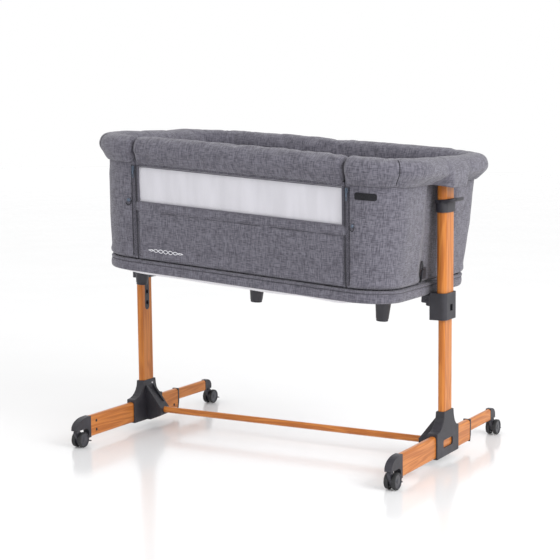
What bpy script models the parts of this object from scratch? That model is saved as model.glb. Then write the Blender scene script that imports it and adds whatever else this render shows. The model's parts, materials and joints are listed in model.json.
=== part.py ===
"""Bedside bassinet on a stand: two castored feet, telescopic posts, a tilting cradle and a drop side.

The frame: +X runs from the left post to the right post, +Y from the front (drop side) to the back,
+Z up, and the floor is Z = 0. The origin is on the floor under the middle of the whole object.
The right-hand end of the cradle stands two lock steps lower than the left-hand end.
"""

import math

import bmesh
import bpy
from mathutils import Matrix, Vector

# ---- driving dimensions, in metres ----
POST_X = 0.450  # from the middle plane to each post's axis
POST_Y = -0.019  # the posts' plane
GAP = 0.0003  # between pieces that touch

# foot tubes, along Y
FOOT_W, FOOT_Z0, FOOT_Z1 = 0.018, 0.020, 0.076
FOOT_CORNER = 0.007
FOOT_FRONT, FOOT_REAR = POST_Y - 0.267, POST_Y + 0.143
TUBE_WALL = 0.0015
FOOT_MID_Z = (FOOT_Z0 + FOOT_Z1) / 2

# telescopic extension of each foot
EXT_W, EXT_Z0, EXT_Z1 = 0.0138, 0.0427, 0.0740
EXT_INNER_END, EXT_REAR = POST_Y + 0.020, POST_Y + 0.293

# castors
STEM_FRONT_Y, STEM_REAR_Y = POST_Y - 0.318, POST_Y + 0.315
TRAIL, WHEEL_R, STEM_R = 0.015, 0.020, 0.004
WHEEL_IN, WHEEL_OUT = 0.0045, 0.0145
CAP_UNDER_Z, STEM_TOP_Z = 0.0460, 0.0580
PEDAL_Y, PEDAL_Z = 0.013, 0.021  # the pedal's pivot, behind the axle

# posts
LOWER_W, LOWER_D, LOWER_TOP = 0.018, 0.0545, 0.530
UPPER_W, UPPER_D = 0.0250, 0.0620
UPPER_BOTTOM, UPPER_TOP = 0.3975, 0.6850  # on the right-hand side
BRACKET_HALF_X, BRACKET_TOP, BRACKET_Y = 0.0130, 0.1290, POST_Y - 0.008
STRETCHER_R, STRETCHER_Z, STRETCHER_END = 0.0084, 0.048, 0.424

# height lock
STEP = 0.030  # between two lock levels
DROP = 2 * STEP  # the right-hand end is this much lower
FIRST_LEVEL, LEVELS = 0.345, 6
BOLT_Z, BOLT_SIDE = 0.375, 0.009
COLLAR_Z0, COLLAR_Z1 = 0.357, 0.423

# cradle, in its own frame: z = 0 is the bottom of the skirt
PIN_X, PIN_Z, PIN_DROP = 0.4105, 0.4045, 0.012
TILT = math.asin(DROP / (2 * PIN_X))
BASE_L, BASE_W, BASE_R = 0.411, 0.267, 0.100  # half length, half width, corner radius
FLARE = 0.0455  # the walls' outward slope
SKIRT_TOP, WALL_BOTTOM, WALL_TOP, WALL_T = 0.0300, 0.0330, 0.2752, 0.006
END_RECESS_X = 0.4035  # the end walls step in to here beside the posts
RIM_L, RIM_W, RIM_R, RIM_Z = 0.431, 0.270, 0.115, 0.309
RIM_RADIUS, RIM_TUBE_R, RIM_SLOT = 0.033, 0.009, 0.0076
PANEL_X = 0.2950  # half width of the drop side
HINGE_Y, HINGE_Z = -0.2696, 0.0315
WINDOW_X, WINDOW_Z0, WINDOW_Z1 = 0.2810, 0.1790, 0.2660
ZIP_LEAN, PLUMB_Z = 0.055, 0.300  # the zips' sideways run per metre below this height

SIDES = {"left": -1, "right": 1}

# name: (colour, roughness, metallic)
FINISHES = {
    "wood_tube": ((0.60, 0.28, 0.09), 0.35, 0.0),
    "black_plastic": ((0.045, 0.045, 0.05), 0.55, 0.0),
    "wheel": ((0.03, 0.03, 0.033), 0.5, 0.0),
    "steel": ((0.08, 0.08, 0.085), 0.4, 0.9),
    "melange_fabric": ((0.16, 0.15, 0.18), 0.95, 0.0),
    "white_mesh": ((0.75, 0.74, 0.78), 0.9, 0.0),
    "white_fabric": ((0.85, 0.85, 0.86), 0.9, 0.0),
}


# ---- scene helpers ----
def clear_scene():
    for obj in list(bpy.data.objects):
        bpy.data.objects.remove(obj)


def make_collection(name):
    collection = bpy.data.collections.new(name)
    bpy.context.scene.collection.children.link(collection)
    return collection


def make_materials():
    made = {}
    for name, (colour, roughness, metallic) in FINISHES.items():
        material = bpy.data.materials.new(name)
        material.use_nodes = True
        shader = material.node_tree.nodes["Principled BSDF"]
        shader.inputs["Base Color"].default_value = (*colour, 1.0)
        shader.inputs["Roughness"].default_value = roughness
        shader.inputs["Metallic"].default_value = metallic
        made[name] = material
    return made


clear_scene()
PARTS = make_collection("bassinet_on_stand")
CUTTERS = make_collection("cutters")
MATERIALS = make_materials()


def add_object(name, data, finish):
    obj = bpy.data.objects.new(name, data)
    PARTS.objects.link(obj)
    if finish:
        data.materials.append(MATERIALS[finish])
    return obj


def add_empty(name, location, parent=None, rotation_y=0.0, origin=(0, 0, 0)):
    """A body's own frame. Its pieces keep their places in the frame that origin is measured in."""
    empty = bpy.data.objects.new(name, None)
    empty.location = location
    empty.rotation_euler[1] = rotation_y
    PARTS.objects.link(empty)
    if parent:
        ride(empty, parent, origin)
    return empty


def ride(obj, empty, origin):
    """Parents obj to empty. obj.location stays in the frame in which the empty lies at origin."""
    obj.parent = empty
    obj.matrix_parent_inverse = Matrix.Translation(-Vector(origin))
    return obj


def rounded_outline(x0, x1, y0, y1, radii, steps=4):
    """A rectangle's outline, anticlockwise from the lower left, with an arc at each corner."""
    if not hasattr(radii, "__len__"):
        radii = (radii,) * 4
    corners = ((x0, y0, 1, 1, 180), (x1, y0, -1, 1, 270), (x1, y1, -1, -1, 0), (x0, y1, 1, -1, 90))
    points = []
    for (x, y, inward_x, inward_y, start), radius in zip(corners, radii):
        centre = (x + inward_x * radius, y + inward_y * radius)
        for i in range(steps + 1):
            angle = math.radians(start + 90 * i / steps)
            points.append((centre[0] + radius * math.cos(angle), centre[1] + radius * math.sin(angle)))
    return points


def centred_outline(width, depth, radius, steps=4):
    return rounded_outline(-width / 2, width / 2, -depth / 2, depth / 2, radius, steps)


TURNS = {"Z": (0, 0, 0), "Y": (math.pi / 2, 0, 0), "X": (math.pi / 2, 0, math.pi / 2)}


def extruded(name, loops, length, finish, centre, axis="Z"):
    """Outlines filled and extruded by length along axis. Outline (u, v) is XY, XZ or YZ about centre."""
    curve = bpy.data.curves.new(name, "CURVE")
    curve.dimensions = "2D"
    curve.fill_mode = "BOTH"
    curve.extrude = length / 2
    for loop in loops:
        spline = curve.splines.new("POLY")
        spline.points.add(len(loop) - 1)
        for point, (u, v) in zip(spline.points, loop):
            point.co = (u, v, 0, 1)
        spline.use_cyclic_u = True
    obj = add_object(name, curve, finish)
    obj.location = centre
    obj.rotation_euler = TURNS[axis]
    return obj


def as_mesh(obj):
    """The evaluated curve as a mesh object in the same place, with its caps welded on."""
    bpy.context.view_layer.update()
    graph = bpy.context.evaluated_depsgraph_get()
    mesh = bpy.data.meshes.new_from_object(obj.evaluated_get(graph))
    body = bmesh.new()
    body.from_mesh(mesh)
    bmesh.ops.remove_doubles(body, verts=body.verts, dist=1e-5)
    bmesh.ops.recalc_face_normals(body, faces=body.faces)
    body.to_mesh(mesh)
    body.free()
    name, place = obj.name, (obj.location.copy(), obj.rotation_euler.copy())
    old = obj.data
    bpy.data.objects.remove(obj)
    bpy.data.curves.remove(old)
    solid = bpy.data.objects.new(name, mesh)
    PARTS.objects.link(solid)
    solid.location, solid.rotation_euler = place
    return solid


def round_edges(solid, width, segments=2):
    rounding = solid.modifiers.new("rounding", "BEVEL")
    rounding.width = width
    rounding.segments = segments
    rounding.limit_method = "ANGLE"
    rounding.angle_limit = math.radians(40)


def block(name, loops, length, finish, centre, axis="Z", bevel=0.0, segments=2):
    """An extruded outline as a mesh, with its sharp edges rounded."""
    solid = as_mesh(extruded(name, loops, length, finish, centre, axis))
    if bevel:
        round_edges(solid, bevel, segments)
    return solid


def box(name, low, high, finish=None):
    centre = (Vector(low) + Vector(high)) / 2
    size = Vector(high) - Vector(low)
    body = bmesh.new()
    bmesh.ops.create_cube(body, size=1.0, matrix=Matrix.Diagonal((*size, 1.0)))
    mesh = bpy.data.meshes.new(name)
    body.to_mesh(mesh)
    body.free()
    obj = add_object(name, mesh, finish)
    obj.location = centre
    return obj


AXIS_TURNS = {"Z": (0, 0, 0), "Y": (math.pi / 2, 0, 0), "X": (0, math.pi / 2, 0)}


def cylinder(name, radius, length, centre, axis="Z", finish=None, top_radius=None, sides=24):
    body = bmesh.new()
    bmesh.ops.create_cone(
        body,
        cap_ends=True,
        segments=sides,
        radius1=radius,
        radius2=radius if top_radius is None else top_radius,
        depth=length,
    )
    mesh = bpy.data.meshes.new(name)
    body.to_mesh(mesh)
    body.free()
    obj = add_object(name, mesh, finish)
    obj.location = centre
    obj.rotation_euler = AXIS_TURNS[axis]
    obj.data.shade_smooth()
    obj.data.set_sharp_from_angle(angle=math.radians(40))
    return obj


def combine(target, other, operation):
    """A Boolean of target with a helper, which is then left out of the object."""
    modifier = target.modifiers.new(other.name, "BOOLEAN")
    modifier.operation = operation
    modifier.object = other
    modifier.solver = "EXACT"
    PARTS.objects.unlink(other)
    CUTTERS.objects.link(other)
    other.hide_render = True
    other.display_type = "WIRE"


def cut(target, *cutters):
    for cutter in cutters:
        combine(target, cutter, "DIFFERENCE")


def join(target, *others):
    for other in others:
        combine(target, other, "UNION")


def swept(name, points, radius, finish, cyclic=False, sides_level=2, profile=None):
    """A tube, or a profile outline, along a line of points."""
    curve = bpy.data.curves.new(name, "CURVE")
    curve.dimensions = "3D"
    curve.use_fill_caps = not cyclic
    if profile:
        curve.bevel_mode = "OBJECT"
        curve.bevel_object = profile
    else:
        curve.bevel_depth = radius
        curve.bevel_resolution = sides_level
    spline = curve.splines.new("POLY")
    spline.points.add(len(points) - 1)
    for point, place in zip(spline.points, points):
        point.co = (*place, 1)
    spline.use_cyclic_u = cyclic
    return add_object(name, curve, finish)


# ---- feet ----
def foot_tube(side, sign):
    height = FOOT_Z1 - FOOT_Z0
    loops = (
        centred_outline(FOOT_W, height, FOOT_CORNER),
        centred_outline(FOOT_W - 2 * TUBE_WALL, height - 2 * TUBE_WALL, FOOT_CORNER - TUBE_WALL),
    )
    centre = (sign * POST_X, (FOOT_FRONT + FOOT_REAR) / 2, FOOT_MID_Z)
    extruded(f"foot_tube_{side}", loops, FOOT_REAR - FOOT_FRONT, "wood_tube", centre, "Y")


def arc(centre, radius_u, radius_v, start, end, steps):
    """Points of an elliptic arc, by angles in degrees."""
    points = []
    for i in range(steps + 1):
        angle = math.radians(start + (end - start) * i / steps)
        points.append((centre[0] + radius_u * math.cos(angle), centre[1] + radius_v * math.sin(angle)))
    return points


def stem_socket(name, x, y):
    depth = STEM_TOP_Z + 0.0015 - (CAP_UNDER_Z - 0.004)
    middle = CAP_UNDER_Z - 0.004 + depth / 2
    return cylinder(f"{name}_socket", STEM_R + GAP, depth, (x, y, middle), sides=16)


def front_cap(side, sign):
    """The hooded plug at the front of a foot, with the castor's socket under its nose."""
    name = f"front_cap_{side}"
    back, tip = FOOT_FRONT - GAP, FOOT_FRONT - 0.0615
    under_back = FOOT_FRONT - 0.010
    profile = [(back, FOOT_Z0 - 0.0005), (back, FOOT_Z1 + 0.0005)]
    profile += arc((FOOT_FRONT - 0.014, 0.050), 0.0475, FOOT_Z1 + 0.0005 - 0.050, 90, 180, 8)[:-1]
    profile += [(tip, CAP_UNDER_Z)]
    profile += arc((FOOT_FRONT - 0.022, FOOT_Z0 + 0.014), 0.012, CAP_UNDER_Z - FOOT_Z0 - 0.014, 90, 0, 4)
    profile += [(under_back, FOOT_Z0 - 0.0005)]
    outline = [(y, z) for y, z in profile]
    cap = block(name, [outline], FOOT_W + 0.0006, "black_plastic", (sign * POST_X, 0, 0), "X", bevel=0.003)
    inner_w, inner_h = FOOT_W - 2 * TUBE_WALL - 2 * GAP, FOOT_Z1 - FOOT_Z0 - 2 * TUBE_WALL - 2 * GAP
    loops = [centred_outline(inner_w, inner_h, FOOT_CORNER - TUBE_WALL)]
    plug = block(f"{name}_plug", loops, 0.026, None, (sign * POST_X, FOOT_FRONT + 0.010, FOOT_MID_Z), "Y")
    join(cap, plug)
    cut(cap, stem_socket(name, sign * POST_X, STEM_FRONT_Y))


def end_ring(side, sign):
    """The plastic ring that closes the outer tube's rear end and guides the extension."""
    name = f"end_ring_{side}"
    front, back = FOOT_REAR + GAP, FOOT_REAR + 0.006
    profile = [
        (front, FOOT_Z0 - 0.0008),
        (front + 0.001, FOOT_Z0 - 0.0008),
        (back, EXT_Z0 - 0.003),
        (back, FOOT_Z1 + 0.0008),
        (front, FOOT_Z1 + 0.0008),
    ]
    ring = block(name, [profile], FOOT_W + 0.0016, "black_plastic", (sign * POST_X, 0, 0), "X", bevel=0.0015)
    inner_w = FOOT_W - 2 * TUBE_WALL - 2 * GAP
    foot_low, foot_high = FOOT_Z0 + TUBE_WALL + GAP, FOOT_Z1 - TUBE_WALL - GAP
    plug_loop = [centred_outline(inner_w, foot_high - foot_low, FOOT_CORNER - TUBE_WALL)]
    plug = block(f"{name}_plug", plug_loop, 0.030, None, (sign * POST_X, FOOT_REAR - 0.010, FOOT_MID_Z), "Y")
    join(ring, plug)
    ext_mid = (EXT_Z0 + EXT_Z1) / 2
    hole_loop = [centred_outline(EXT_W + 2 * GAP, EXT_Z1 - EXT_Z0 + 2 * GAP, 0.0062)]
    hole = block(f"{name}_hole", hole_loop, 0.060, None, (sign * POST_X, FOOT_REAR, ext_mid), "Y")
    roof = box(
        f"{name}_roof",
        (sign * POST_X - 0.02, FOOT_REAR - 0.035, ext_mid),
        (sign * POST_X + 0.02, FOOT_REAR - 0.0005, FOOT_Z1 + 0.01),
    )
    cut(ring, hole, roof)


def foot_extension(side, sign, body):
    loops = (
        centred_outline(EXT_W, EXT_Z1 - EXT_Z0, 0.006),
        centred_outline(EXT_W - 2 * TUBE_WALL, EXT_Z1 - EXT_Z0 - 2 * TUBE_WALL, 0.0045),
    )
    centre = (sign * POST_X, (EXT_INNER_END + EXT_REAR) / 2, (EXT_Z0 + EXT_Z1) / 2)
    tube = extruded(f"foot_extension_{side}", loops, EXT_REAR - EXT_INNER_END, "wood_tube", centre, "Y")
    ride(tube, body, body.location)


def rear_cap(side, sign, body):
    """The short rounded cap on the extension's rear end, over the rear castor."""
    name = f"rear_cap_{side}"
    front = EXT_REAR + GAP
    profile = [(front, EXT_Z0 - 0.0006), (front + 0.004, EXT_Z0 - 0.0006), (front + 0.008, CAP_UNDER_Z)]
    profile += [(front + 0.0325, CAP_UNDER_Z)]
    profile += arc((front + 0.0115, 0.054), 0.022, EXT_Z1 + 0.0010 - 0.054, 0, 90, 7)
    profile += [(front, EXT_Z1 + 0.0010)]
    cap = block(name, [profile], EXT_W + 0.0016, "black_plastic", (sign * POST_X, 0, 0), "X", bevel=0.003)
    inner_w, inner_h = EXT_W - 2 * TUBE_WALL - 2 * GAP, EXT_Z1 - EXT_Z0 - 2 * TUBE_WALL - 2 * GAP
    plug_loop = [centred_outline(inner_w, inner_h, 0.004)]
    plug_place = (sign * POST_X, EXT_REAR - 0.008, (EXT_Z0 + EXT_Z1) / 2)
    join(cap, block(f"{name}_plug", plug_loop, 0.024, None, plug_place, "Y"))
    cut(cap, stem_socket(name, sign * POST_X, STEM_REAR_Y))
    ride(cap, body, body.location)


# ---- castors ----
def castor_housing(name, x, axle_y, swivel):
    """The plate between the wheels, with the swivel stem and the pedal's notch."""
    plate = [(-0.0065, 0.0440), (-0.0235, 0.0440), (-0.0235, 0.0380)]
    plate += arc((0, WHEEL_R), 0.0135, 0.0135, 215, 405, 9)
    outline = [(axle_y + y, z) for y, z in plate]
    housing = block(f"{name}_housing", [outline], 0.0076, "black_plastic", (x, 0, 0), "X")
    stem_y = axle_y - TRAIL
    flange = cylinder(f"{name}_flange", 0.0085, 0.005, (x, stem_y, 0.0428), top_radius=0.007, sides=20)
    stem = cylinder(f"{name}_stem", STEM_R, STEM_TOP_Z - 0.043, (x, stem_y, (STEM_TOP_Z + 0.043) / 2), sides=16)
    join(housing, flange, stem)
    bore = cylinder(f"{name}_bore", 0.0025 + GAP, 0.02, (x, axle_y, WHEEL_R), "X", sides=16)
    notch_place = (x, axle_y + PEDAL_Y, PEDAL_Z)
    notch = cylinder(f"{name}_notch", 0.0030 + 4 * GAP, 0.02, notch_place, "X", sides=16)
    cut(housing, bore, notch)
    ride(housing, swivel, (x, stem_y, 0))


def wheel_pair(name, x, axle_y, axle):
    """Both wheels on their axle, as one turned shape about X."""
    half = [
        (WHEEL_OUT, 0.0),
        (WHEEL_OUT, 0.0055),
        (WHEEL_OUT - 0.0015, 0.0065),
        (WHEEL_OUT - 0.0015, 0.0135),
        (WHEEL_OUT, 0.0150),
        (WHEEL_OUT, 0.0185),
        (WHEEL_OUT - 0.0020, WHEEL_R),
        (WHEEL_IN + 0.0015, WHEEL_R),
        (WHEEL_IN, WHEEL_R - 0.0015),
        (WHEEL_IN, 0.0025),
    ]
    profile = half + [(-u, r) for u, r in reversed(half)]
    mesh = bpy.data.meshes.new(f"{name}_wheels")
    points = [(u, 0, r) for u, r in profile]
    mesh.from_pydata(points, [(i, i + 1) for i in range(len(points) - 1)], [])
    wheels = add_object(f"{name}_wheels", mesh, "wheel")
    turn = wheels.modifiers.new("turned", "SCREW")
    turn.axis = "X"
    turn.steps = turn.render_steps = 20
    turn.use_merge_vertices = True
    turn.merge_threshold = 0.0001
    turn.use_smooth_shade = True
    wheels.location = (x, axle_y, WHEEL_R)
    ride(wheels, axle, (x, axle_y, WHEEL_R))


def brake_pedal(name, x, axle_y, hinge):
    """A lever whose knuckle sits in the housing's notch and whose pad stands out behind the wheels."""
    arm = arc((PEDAL_Y, PEDAL_Z), 0.003, 0.003, 60, 270, 7)
    arm += [(0.0245, 0.0105), (0.0245, 0.0140)]
    pad = [(0.0225, 0.0108), (0.0365, 0.0085), (0.0370, 0.0115), (0.0230, 0.0145)]
    arm_loop = [(axle_y + y, z) for y, z in arm]
    pad_loop = [(axle_y + y, z) for y, z in pad]
    pedal = block(f"{name}_pedal", [arm_loop], 0.0070, "black_plastic", (x, 0, 0), "X")
    join(pedal, block(f"{name}_pad", [pad_loop], 0.0180, None, (x, 0, 0), "X", bevel=0.0008, segments=1))
    ride(pedal, hinge, (x, axle_y + PEDAL_Y, PEDAL_Z))


def castor(name, x, stem_y, carrier=None):
    origin = carrier.location if carrier else (0, 0, 0)
    axle_y = stem_y + TRAIL
    swivel = add_empty(f"{name}_swivel_axis", (x, stem_y, 0), carrier, origin=origin)
    axle = add_empty(f"{name}_axle_axis", (x, axle_y, WHEEL_R), swivel, origin=(x, stem_y, 0))
    hinge = add_empty(f"{name}_pedal_axis", (x, axle_y + PEDAL_Y, PEDAL_Z), swivel, origin=(x, stem_y, 0))
    castor_housing(name, x, axle_y, swivel)
    wheel_pair(name, x, axle_y, axle)
    brake_pedal(name, x, axle_y, hinge)


# ---- stand ----
def leg_bracket(side, sign):
    """The moulded bracket that clamps a post to its foot and holds the stretcher in an inner gusset."""
    name = f"leg_bracket_{side}"
    x = sign * POST_X
    half, neck = 0.0675, LOWER_D / 2 + 0.0024
    low, shoulder = FOOT_Z0 - 0.0018, 0.0835
    post_shift = POST_Y - BRACKET_Y
    profile = [(-half, low), (half, low), (half, shoulder)]
    rise, run = BRACKET_TOP - 0.004 - shoulder, half - neck - post_shift
    profile += arc((half - 0.002, BRACKET_TOP - 0.004), run - 0.002, rise, 270, 180, 6)
    profile += [(neck + post_shift, BRACKET_TOP), (-neck + post_shift, BRACKET_TOP)]
    run = half - neck + post_shift
    profile += arc((-half + 0.002, BRACKET_TOP - 0.004), run - 0.002, rise, 0, -90, 6)
    profile += [(-half, shoulder)]
    outline = [(BRACKET_Y + y, z) for y, z in profile]
    bracket = block(name, [outline], 2 * BRACKET_HALF_X, "black_plastic", (x, 0, 0), "X")
    foot_half, neck_half = BRACKET_HALF_X, LOWER_W / 2 + 0.0024
    taper = [(-foot_half, low - 0.01), (foot_half, low - 0.01), (foot_half, shoulder - 0.004)]
    taper += [(neck_half, BRACKET_TOP + 0.01), (-neck_half, BRACKET_TOP + 0.01), (-foot_half, shoulder - 0.004)]
    combine(bracket, block(f"{name}_taper", [taper], 0.20, None, (x, BRACKET_Y, 0), "Y"), "INTERSECT")
    round_edges(bracket, 0.0042, 3)

    inner_face = POST_X - BRACKET_HALF_X
    gusset = [
        (inner_face + 0.006, low + 0.001),
        (inner_face + 0.006, 0.1180),
        (inner_face + 0.0005, 0.1165),
        (0.3930, 0.0600),
        (0.3880, 0.0540),
        (0.3880, 0.0360),
        (inner_face - 0.012, low + 0.001),
    ]
    gusset_loop = [(sign * u, v) for u, v in gusset]
    web = block(f"{name}_gusset", [gusset_loop], 0.040, None, (0, POST_Y, 0), "Y", bevel=0.0015)
    join(bracket, web)

    channel = [(0.3990, 0.0640), (inner_face - 0.0010, 0.1040), (inner_face - 0.0010, 0.130), (0.3990, 0.130)]
    channel_loop = [(sign * u, v) for u, v in channel]
    groove = block(f"{name}_groove", [channel_loop], 0.024, None, (0, POST_Y, 0), "Y")
    socket_length = 0.050
    socket_x = sign * (STRETCHER_END + 0.001 - socket_length / 2)
    socket = cylinder(
        f"{name}_socket", STRETCHER_R + GAP, socket_length, (socket_x, POST_Y, STRETCHER_Z), "X", sides=20
    )
    foot_loop = [centred_outline(FOOT_W + 2 * GAP, FOOT_Z1 - FOOT_Z0 + 2 * GAP, FOOT_CORNER)]
    foot_way = block(f"{name}_foot_way", foot_loop, 0.20, None, (x, BRACKET_Y, FOOT_MID_Z), "Y")
    post_loop = [centred_outline(LOWER_W + 2 * GAP, LOWER_D + 2 * GAP, LOWER_W / 2 - 0.001, 5)]
    post_way = block(f"{name}_post_way", post_loop, 0.070, None, (x, POST_Y, FOOT_Z1 + 0.035), "Z")
    window_loop = [centred_outline(0.058, 0.020, 0.005)]
    window_x = sign * (POST_X + BRACKET_HALF_X)
    window = block(f"{name}_window", window_loop, 0.010, None, (window_x, BRACKET_Y, 0.050), "X")
    cut(bracket, groove, socket, foot_way, post_way, window)


def lower_post(side, sign):
    """The fixed inner tube of a post, slotted on its inner face for the height rack."""
    x = sign * POST_X
    bottom = FOOT_Z1 + 0.0015
    loops = (
        centred_outline(LOWER_W, LOWER_D, LOWER_W / 2 - 0.001, 5),
        centred_outline(LOWER_W - 2 * TUBE_WALL, LOWER_D - 2 * TUBE_WALL, LOWER_W / 2 - 0.0025, 5),
    )
    middle = (bottom + LOWER_TOP) / 2
    tube = block(f"lower_post_{side}", loops, LOWER_TOP - bottom, "wood_tube", (x, POST_Y, middle), "Z")
    slot_low, slot_high = FIRST_LEVEL - 0.020, FIRST_LEVEL + LEVELS * STEP
    slot = rounded_outline(-0.0102, 0.0102, slot_low, slot_high, (0.0100, 0.0100, 0.0010, 0.0010), 5)
    face_x = sign * (POST_X - LOWER_W / 2)
    cut(tube, block(f"lower_post_{side}_slot", [slot], 0.004, None, (face_x, POST_Y, 0), "X"))


def height_rack(side, sign):
    """The plastic rack in the post's slot, with one pocket for each lock level."""
    name = f"height_rack_{side}"
    low, high = FIRST_LEVEL - 0.020 + GAP, FIRST_LEVEL + LEVELS * STEP - GAP
    outer = POST_X - LOWER_W / 2
    depth = 0.0065
    loop = rounded_outline(-0.0099, 0.0099, low, high, (0.0097, 0.0097, 0.0010, 0.0010), 5)
    rack = block(name, [loop], depth, "black_plastic", (sign * (outer + depth / 2), POST_Y, 0), "X")
    for level in range(LEVELS):
        z = FIRST_LEVEL + level * STEP
        ends = sorted((sign * (outer - 0.002), sign * (outer + 0.0052)))
        pocket_half = BOLT_SIDE / 2 + 0.0008
        low_corner = (ends[0], POST_Y - pocket_half, z - pocket_half)
        high_corner = (ends[1], POST_Y + pocket_half, z + pocket_half)
        cut(rack, box(f"{name}_pocket_{level}", low_corner, high_corner))


def stretcher():
    ends = [(-STRETCHER_END, POST_Y, STRETCHER_Z), (STRETCHER_END, POST_Y, STRETCHER_Z)]
    swept("stretcher", ends, STRETCHER_R, "wood_tube", sides_level=3)


# ---- sliding upper part of each post ----
def upper_tube(side, sign, lift, rise):
    loops = (
        centred_outline(UPPER_W, UPPER_D, UPPER_W / 2 - 0.001, 6),
        centred_outline(UPPER_W - 2 * TUBE_WALL, UPPER_D - 2 * TUBE_WALL, UPPER_W / 2 - 0.0025, 6),
    )
    centre = (sign * POST_X, POST_Y, (UPPER_BOTTOM + UPPER_TOP) / 2 + rise)
    tube = extruded(f"upper_tube_{side}", loops, UPPER_TOP - UPPER_BOTTOM, "wood_tube", centre, "Z")
    ride(tube, lift, (0, 0, 0))


def post_plug(side, sign, lift, rise):
    """The cap that closes the upper tube under the cradle's rim."""
    top = UPPER_TOP + rise + GAP
    x = sign * POST_X
    head_loop = [centred_outline(UPPER_W, UPPER_D, UPPER_W / 2 - 0.001, 6)]
    head = block(f"post_plug_{side}", head_loop, 0.0022, "black_plastic", (x, POST_Y, top + 0.0011), "Z")
    shrink = 2 * TUBE_WALL + 2 * GAP
    core_loop = [centred_outline(UPPER_W - shrink, UPPER_D - shrink, (UPPER_W - shrink) / 2 - 0.001, 6)]
    core = block(f"post_plug_{side}_core", core_loop, 0.020, None, (x, POST_Y, top - 0.009), "Z")
    join(head, core)
    ride(head, lift, (0, 0, 0))


def height_collar(side, sign, lift, rise):
    """The collar that grips the upper tube, guides the lower post and carries the cradle's pivot tongue."""
    name = f"height_collar_{side}"
    x = sign * POST_X
    inner, outer = 0.0270, 0.0165
    radii = (0.0030, 0.0120, 0.0120, 0.0030)
    loop = [(sign * u, v) for u, v in rounded_outline(-inner, outer, -0.0370, 0.0370, radii, 5)]
    middle = (COLLAR_Z0 + COLLAR_Z1) / 2 + rise
    collar = block(name, [loop], COLLAR_Z1 - COLLAR_Z0, "black_plastic", (x, POST_Y, middle), "Z", bevel=0.0012)

    root = POST_X - inner + 0.002
    tongue = [(root, -0.0050), (root, 0.0040), (PIN_X + 0.0040, 0.0040)]
    tongue += arc((PIN_X, 0), 0.0055, 0.0055, 60, 270, 9)
    tongue_loop = [(sign * u, PIN_Z + v + rise) for u, v in tongue]
    join(collar, block(f"{name}_tongue", [tongue_loop], 0.0380, None, (0, POST_Y, 0), "Y"))
    pin_place = (sign * PIN_X, POST_Y, PIN_Z + rise)
    join(collar, cylinder(f"{name}_pin", 0.0030, 0.0560, pin_place, "Y", sides=16))

    guide_loop = [centred_outline(LOWER_W + 0.0012, LOWER_D + 0.0012, LOWER_W / 2 - 0.001, 5)]
    guide = block(f"{name}_guide", guide_loop, 0.100, None, (x, POST_Y, COLLAR_Z0 + rise + 0.020), "Z")
    socket_loop = [centred_outline(UPPER_W + 2 * GAP, UPPER_D + 2 * GAP, UPPER_W / 2 - 0.001, 6)]
    seat = UPPER_BOTTOM - GAP + rise
    socket = block(f"{name}_socket", socket_loop, 0.060, None, (x, POST_Y, seat + 0.030), "Z")
    rod_x = POST_X - UPPER_W / 2
    rod_ends = sorted((sign * (rod_x - 0.0042), sign * (rod_x + 0.003)))
    rod_way = box(
        f"{name}_rod_way",
        (rod_ends[0], POST_Y - 0.0060, COLLAR_Z0 + 0.024 + rise),
        (rod_ends[1], POST_Y + 0.0060, COLLAR_Z1 + 0.010 + rise),
    )
    bolt_half = BOLT_SIDE / 2 + GAP
    bolt_ends = sorted((sign * (POST_X - inner - 0.005), sign * (POST_X - LOWER_W / 2 + 0.003)))
    bolt_way = box(
        f"{name}_bolt_way",
        (bolt_ends[0], POST_Y - bolt_half, BOLT_Z - bolt_half + rise),
        (bolt_ends[1], POST_Y + bolt_half, BOLT_Z + bolt_half + rise),
    )
    window_loop = [centred_outline(0.015, 0.016, 0.001, 2)]
    window_place = (sign * (POST_X + outer), POST_Y, COLLAR_Z0 + 0.029 + rise)
    window = block(f"{name}_window", window_loop, 0.012, None, window_place, "X")
    cut(collar, guide, socket, rod_way, bolt_way, window)
    ride(collar, lift, (0, 0, 0))


def release_lever(side, sign, lever, rise):
    """The pull ring round the upper tube, with its finger lip, and the rod down to the lock."""
    name = f"release_lever_{side}"
    x = sign * POST_X
    low, high, wall = 0.6200 + rise, 0.6430 + rise, 0.0032
    ring_loop = [centred_outline(UPPER_W + 2 * wall, UPPER_D + 2 * wall, UPPER_W / 2 + 0.001, 6)]
    ring = block(name, ring_loop, high - low, "black_plastic", (x, POST_Y, (low + high) / 2), "Z", bevel=0.001)

    face = POST_X + UPPER_W / 2 + wall - 0.0015
    lip = [(face, high - 0.008), (face + 0.0030, high - 0.0025)]
    lip += arc((face + 0.0050, high + 0.0160), 0.0205, 0.0175, 285, 345, 5)
    lip += [(face + 0.0240, high + 0.0155)]
    lip += arc((face + 0.0050, high + 0.0180), 0.0175, 0.0150, 345, 270, 5)
    lip += [(face, high + 0.0030)]
    lip_loop = [(sign * u, v) for u, v in lip]
    flange = block(f"{name}_lip", [lip_loop], 0.070, None, (0, POST_Y, 0), "Y")
    plan_loop = [arc((0, 0), 0.0405, 0.0360, 0, 345, 23)]
    trim = block(f"{name}_plan", plan_loop, 0.080, None, (x, POST_Y, high), "Z")
    combine(flange, trim, "INTERSECT")

    rod_x = POST_X - UPPER_W / 2 - GAP
    rod_ends = sorted((sign * (rod_x - 0.0030), sign * rod_x))
    rod = box(
        f"{name}_rod",
        (rod_ends[0], POST_Y - 0.0050, COLLAR_Z0 + 0.036 + rise),
        (rod_ends[1], POST_Y + 0.0050, high - 0.002),
    )
    join(ring, flange, rod)
    tube_loop = [centred_outline(UPPER_W + 2 * GAP, UPPER_D + 2 * GAP, UPPER_W / 2 - 0.001, 6)]
    cut(ring, block(f"{name}_bore", tube_loop, 0.080, None, (x, POST_Y, high), "Z"))
    ride(ring, lever, (0, 0, 0))


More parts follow.
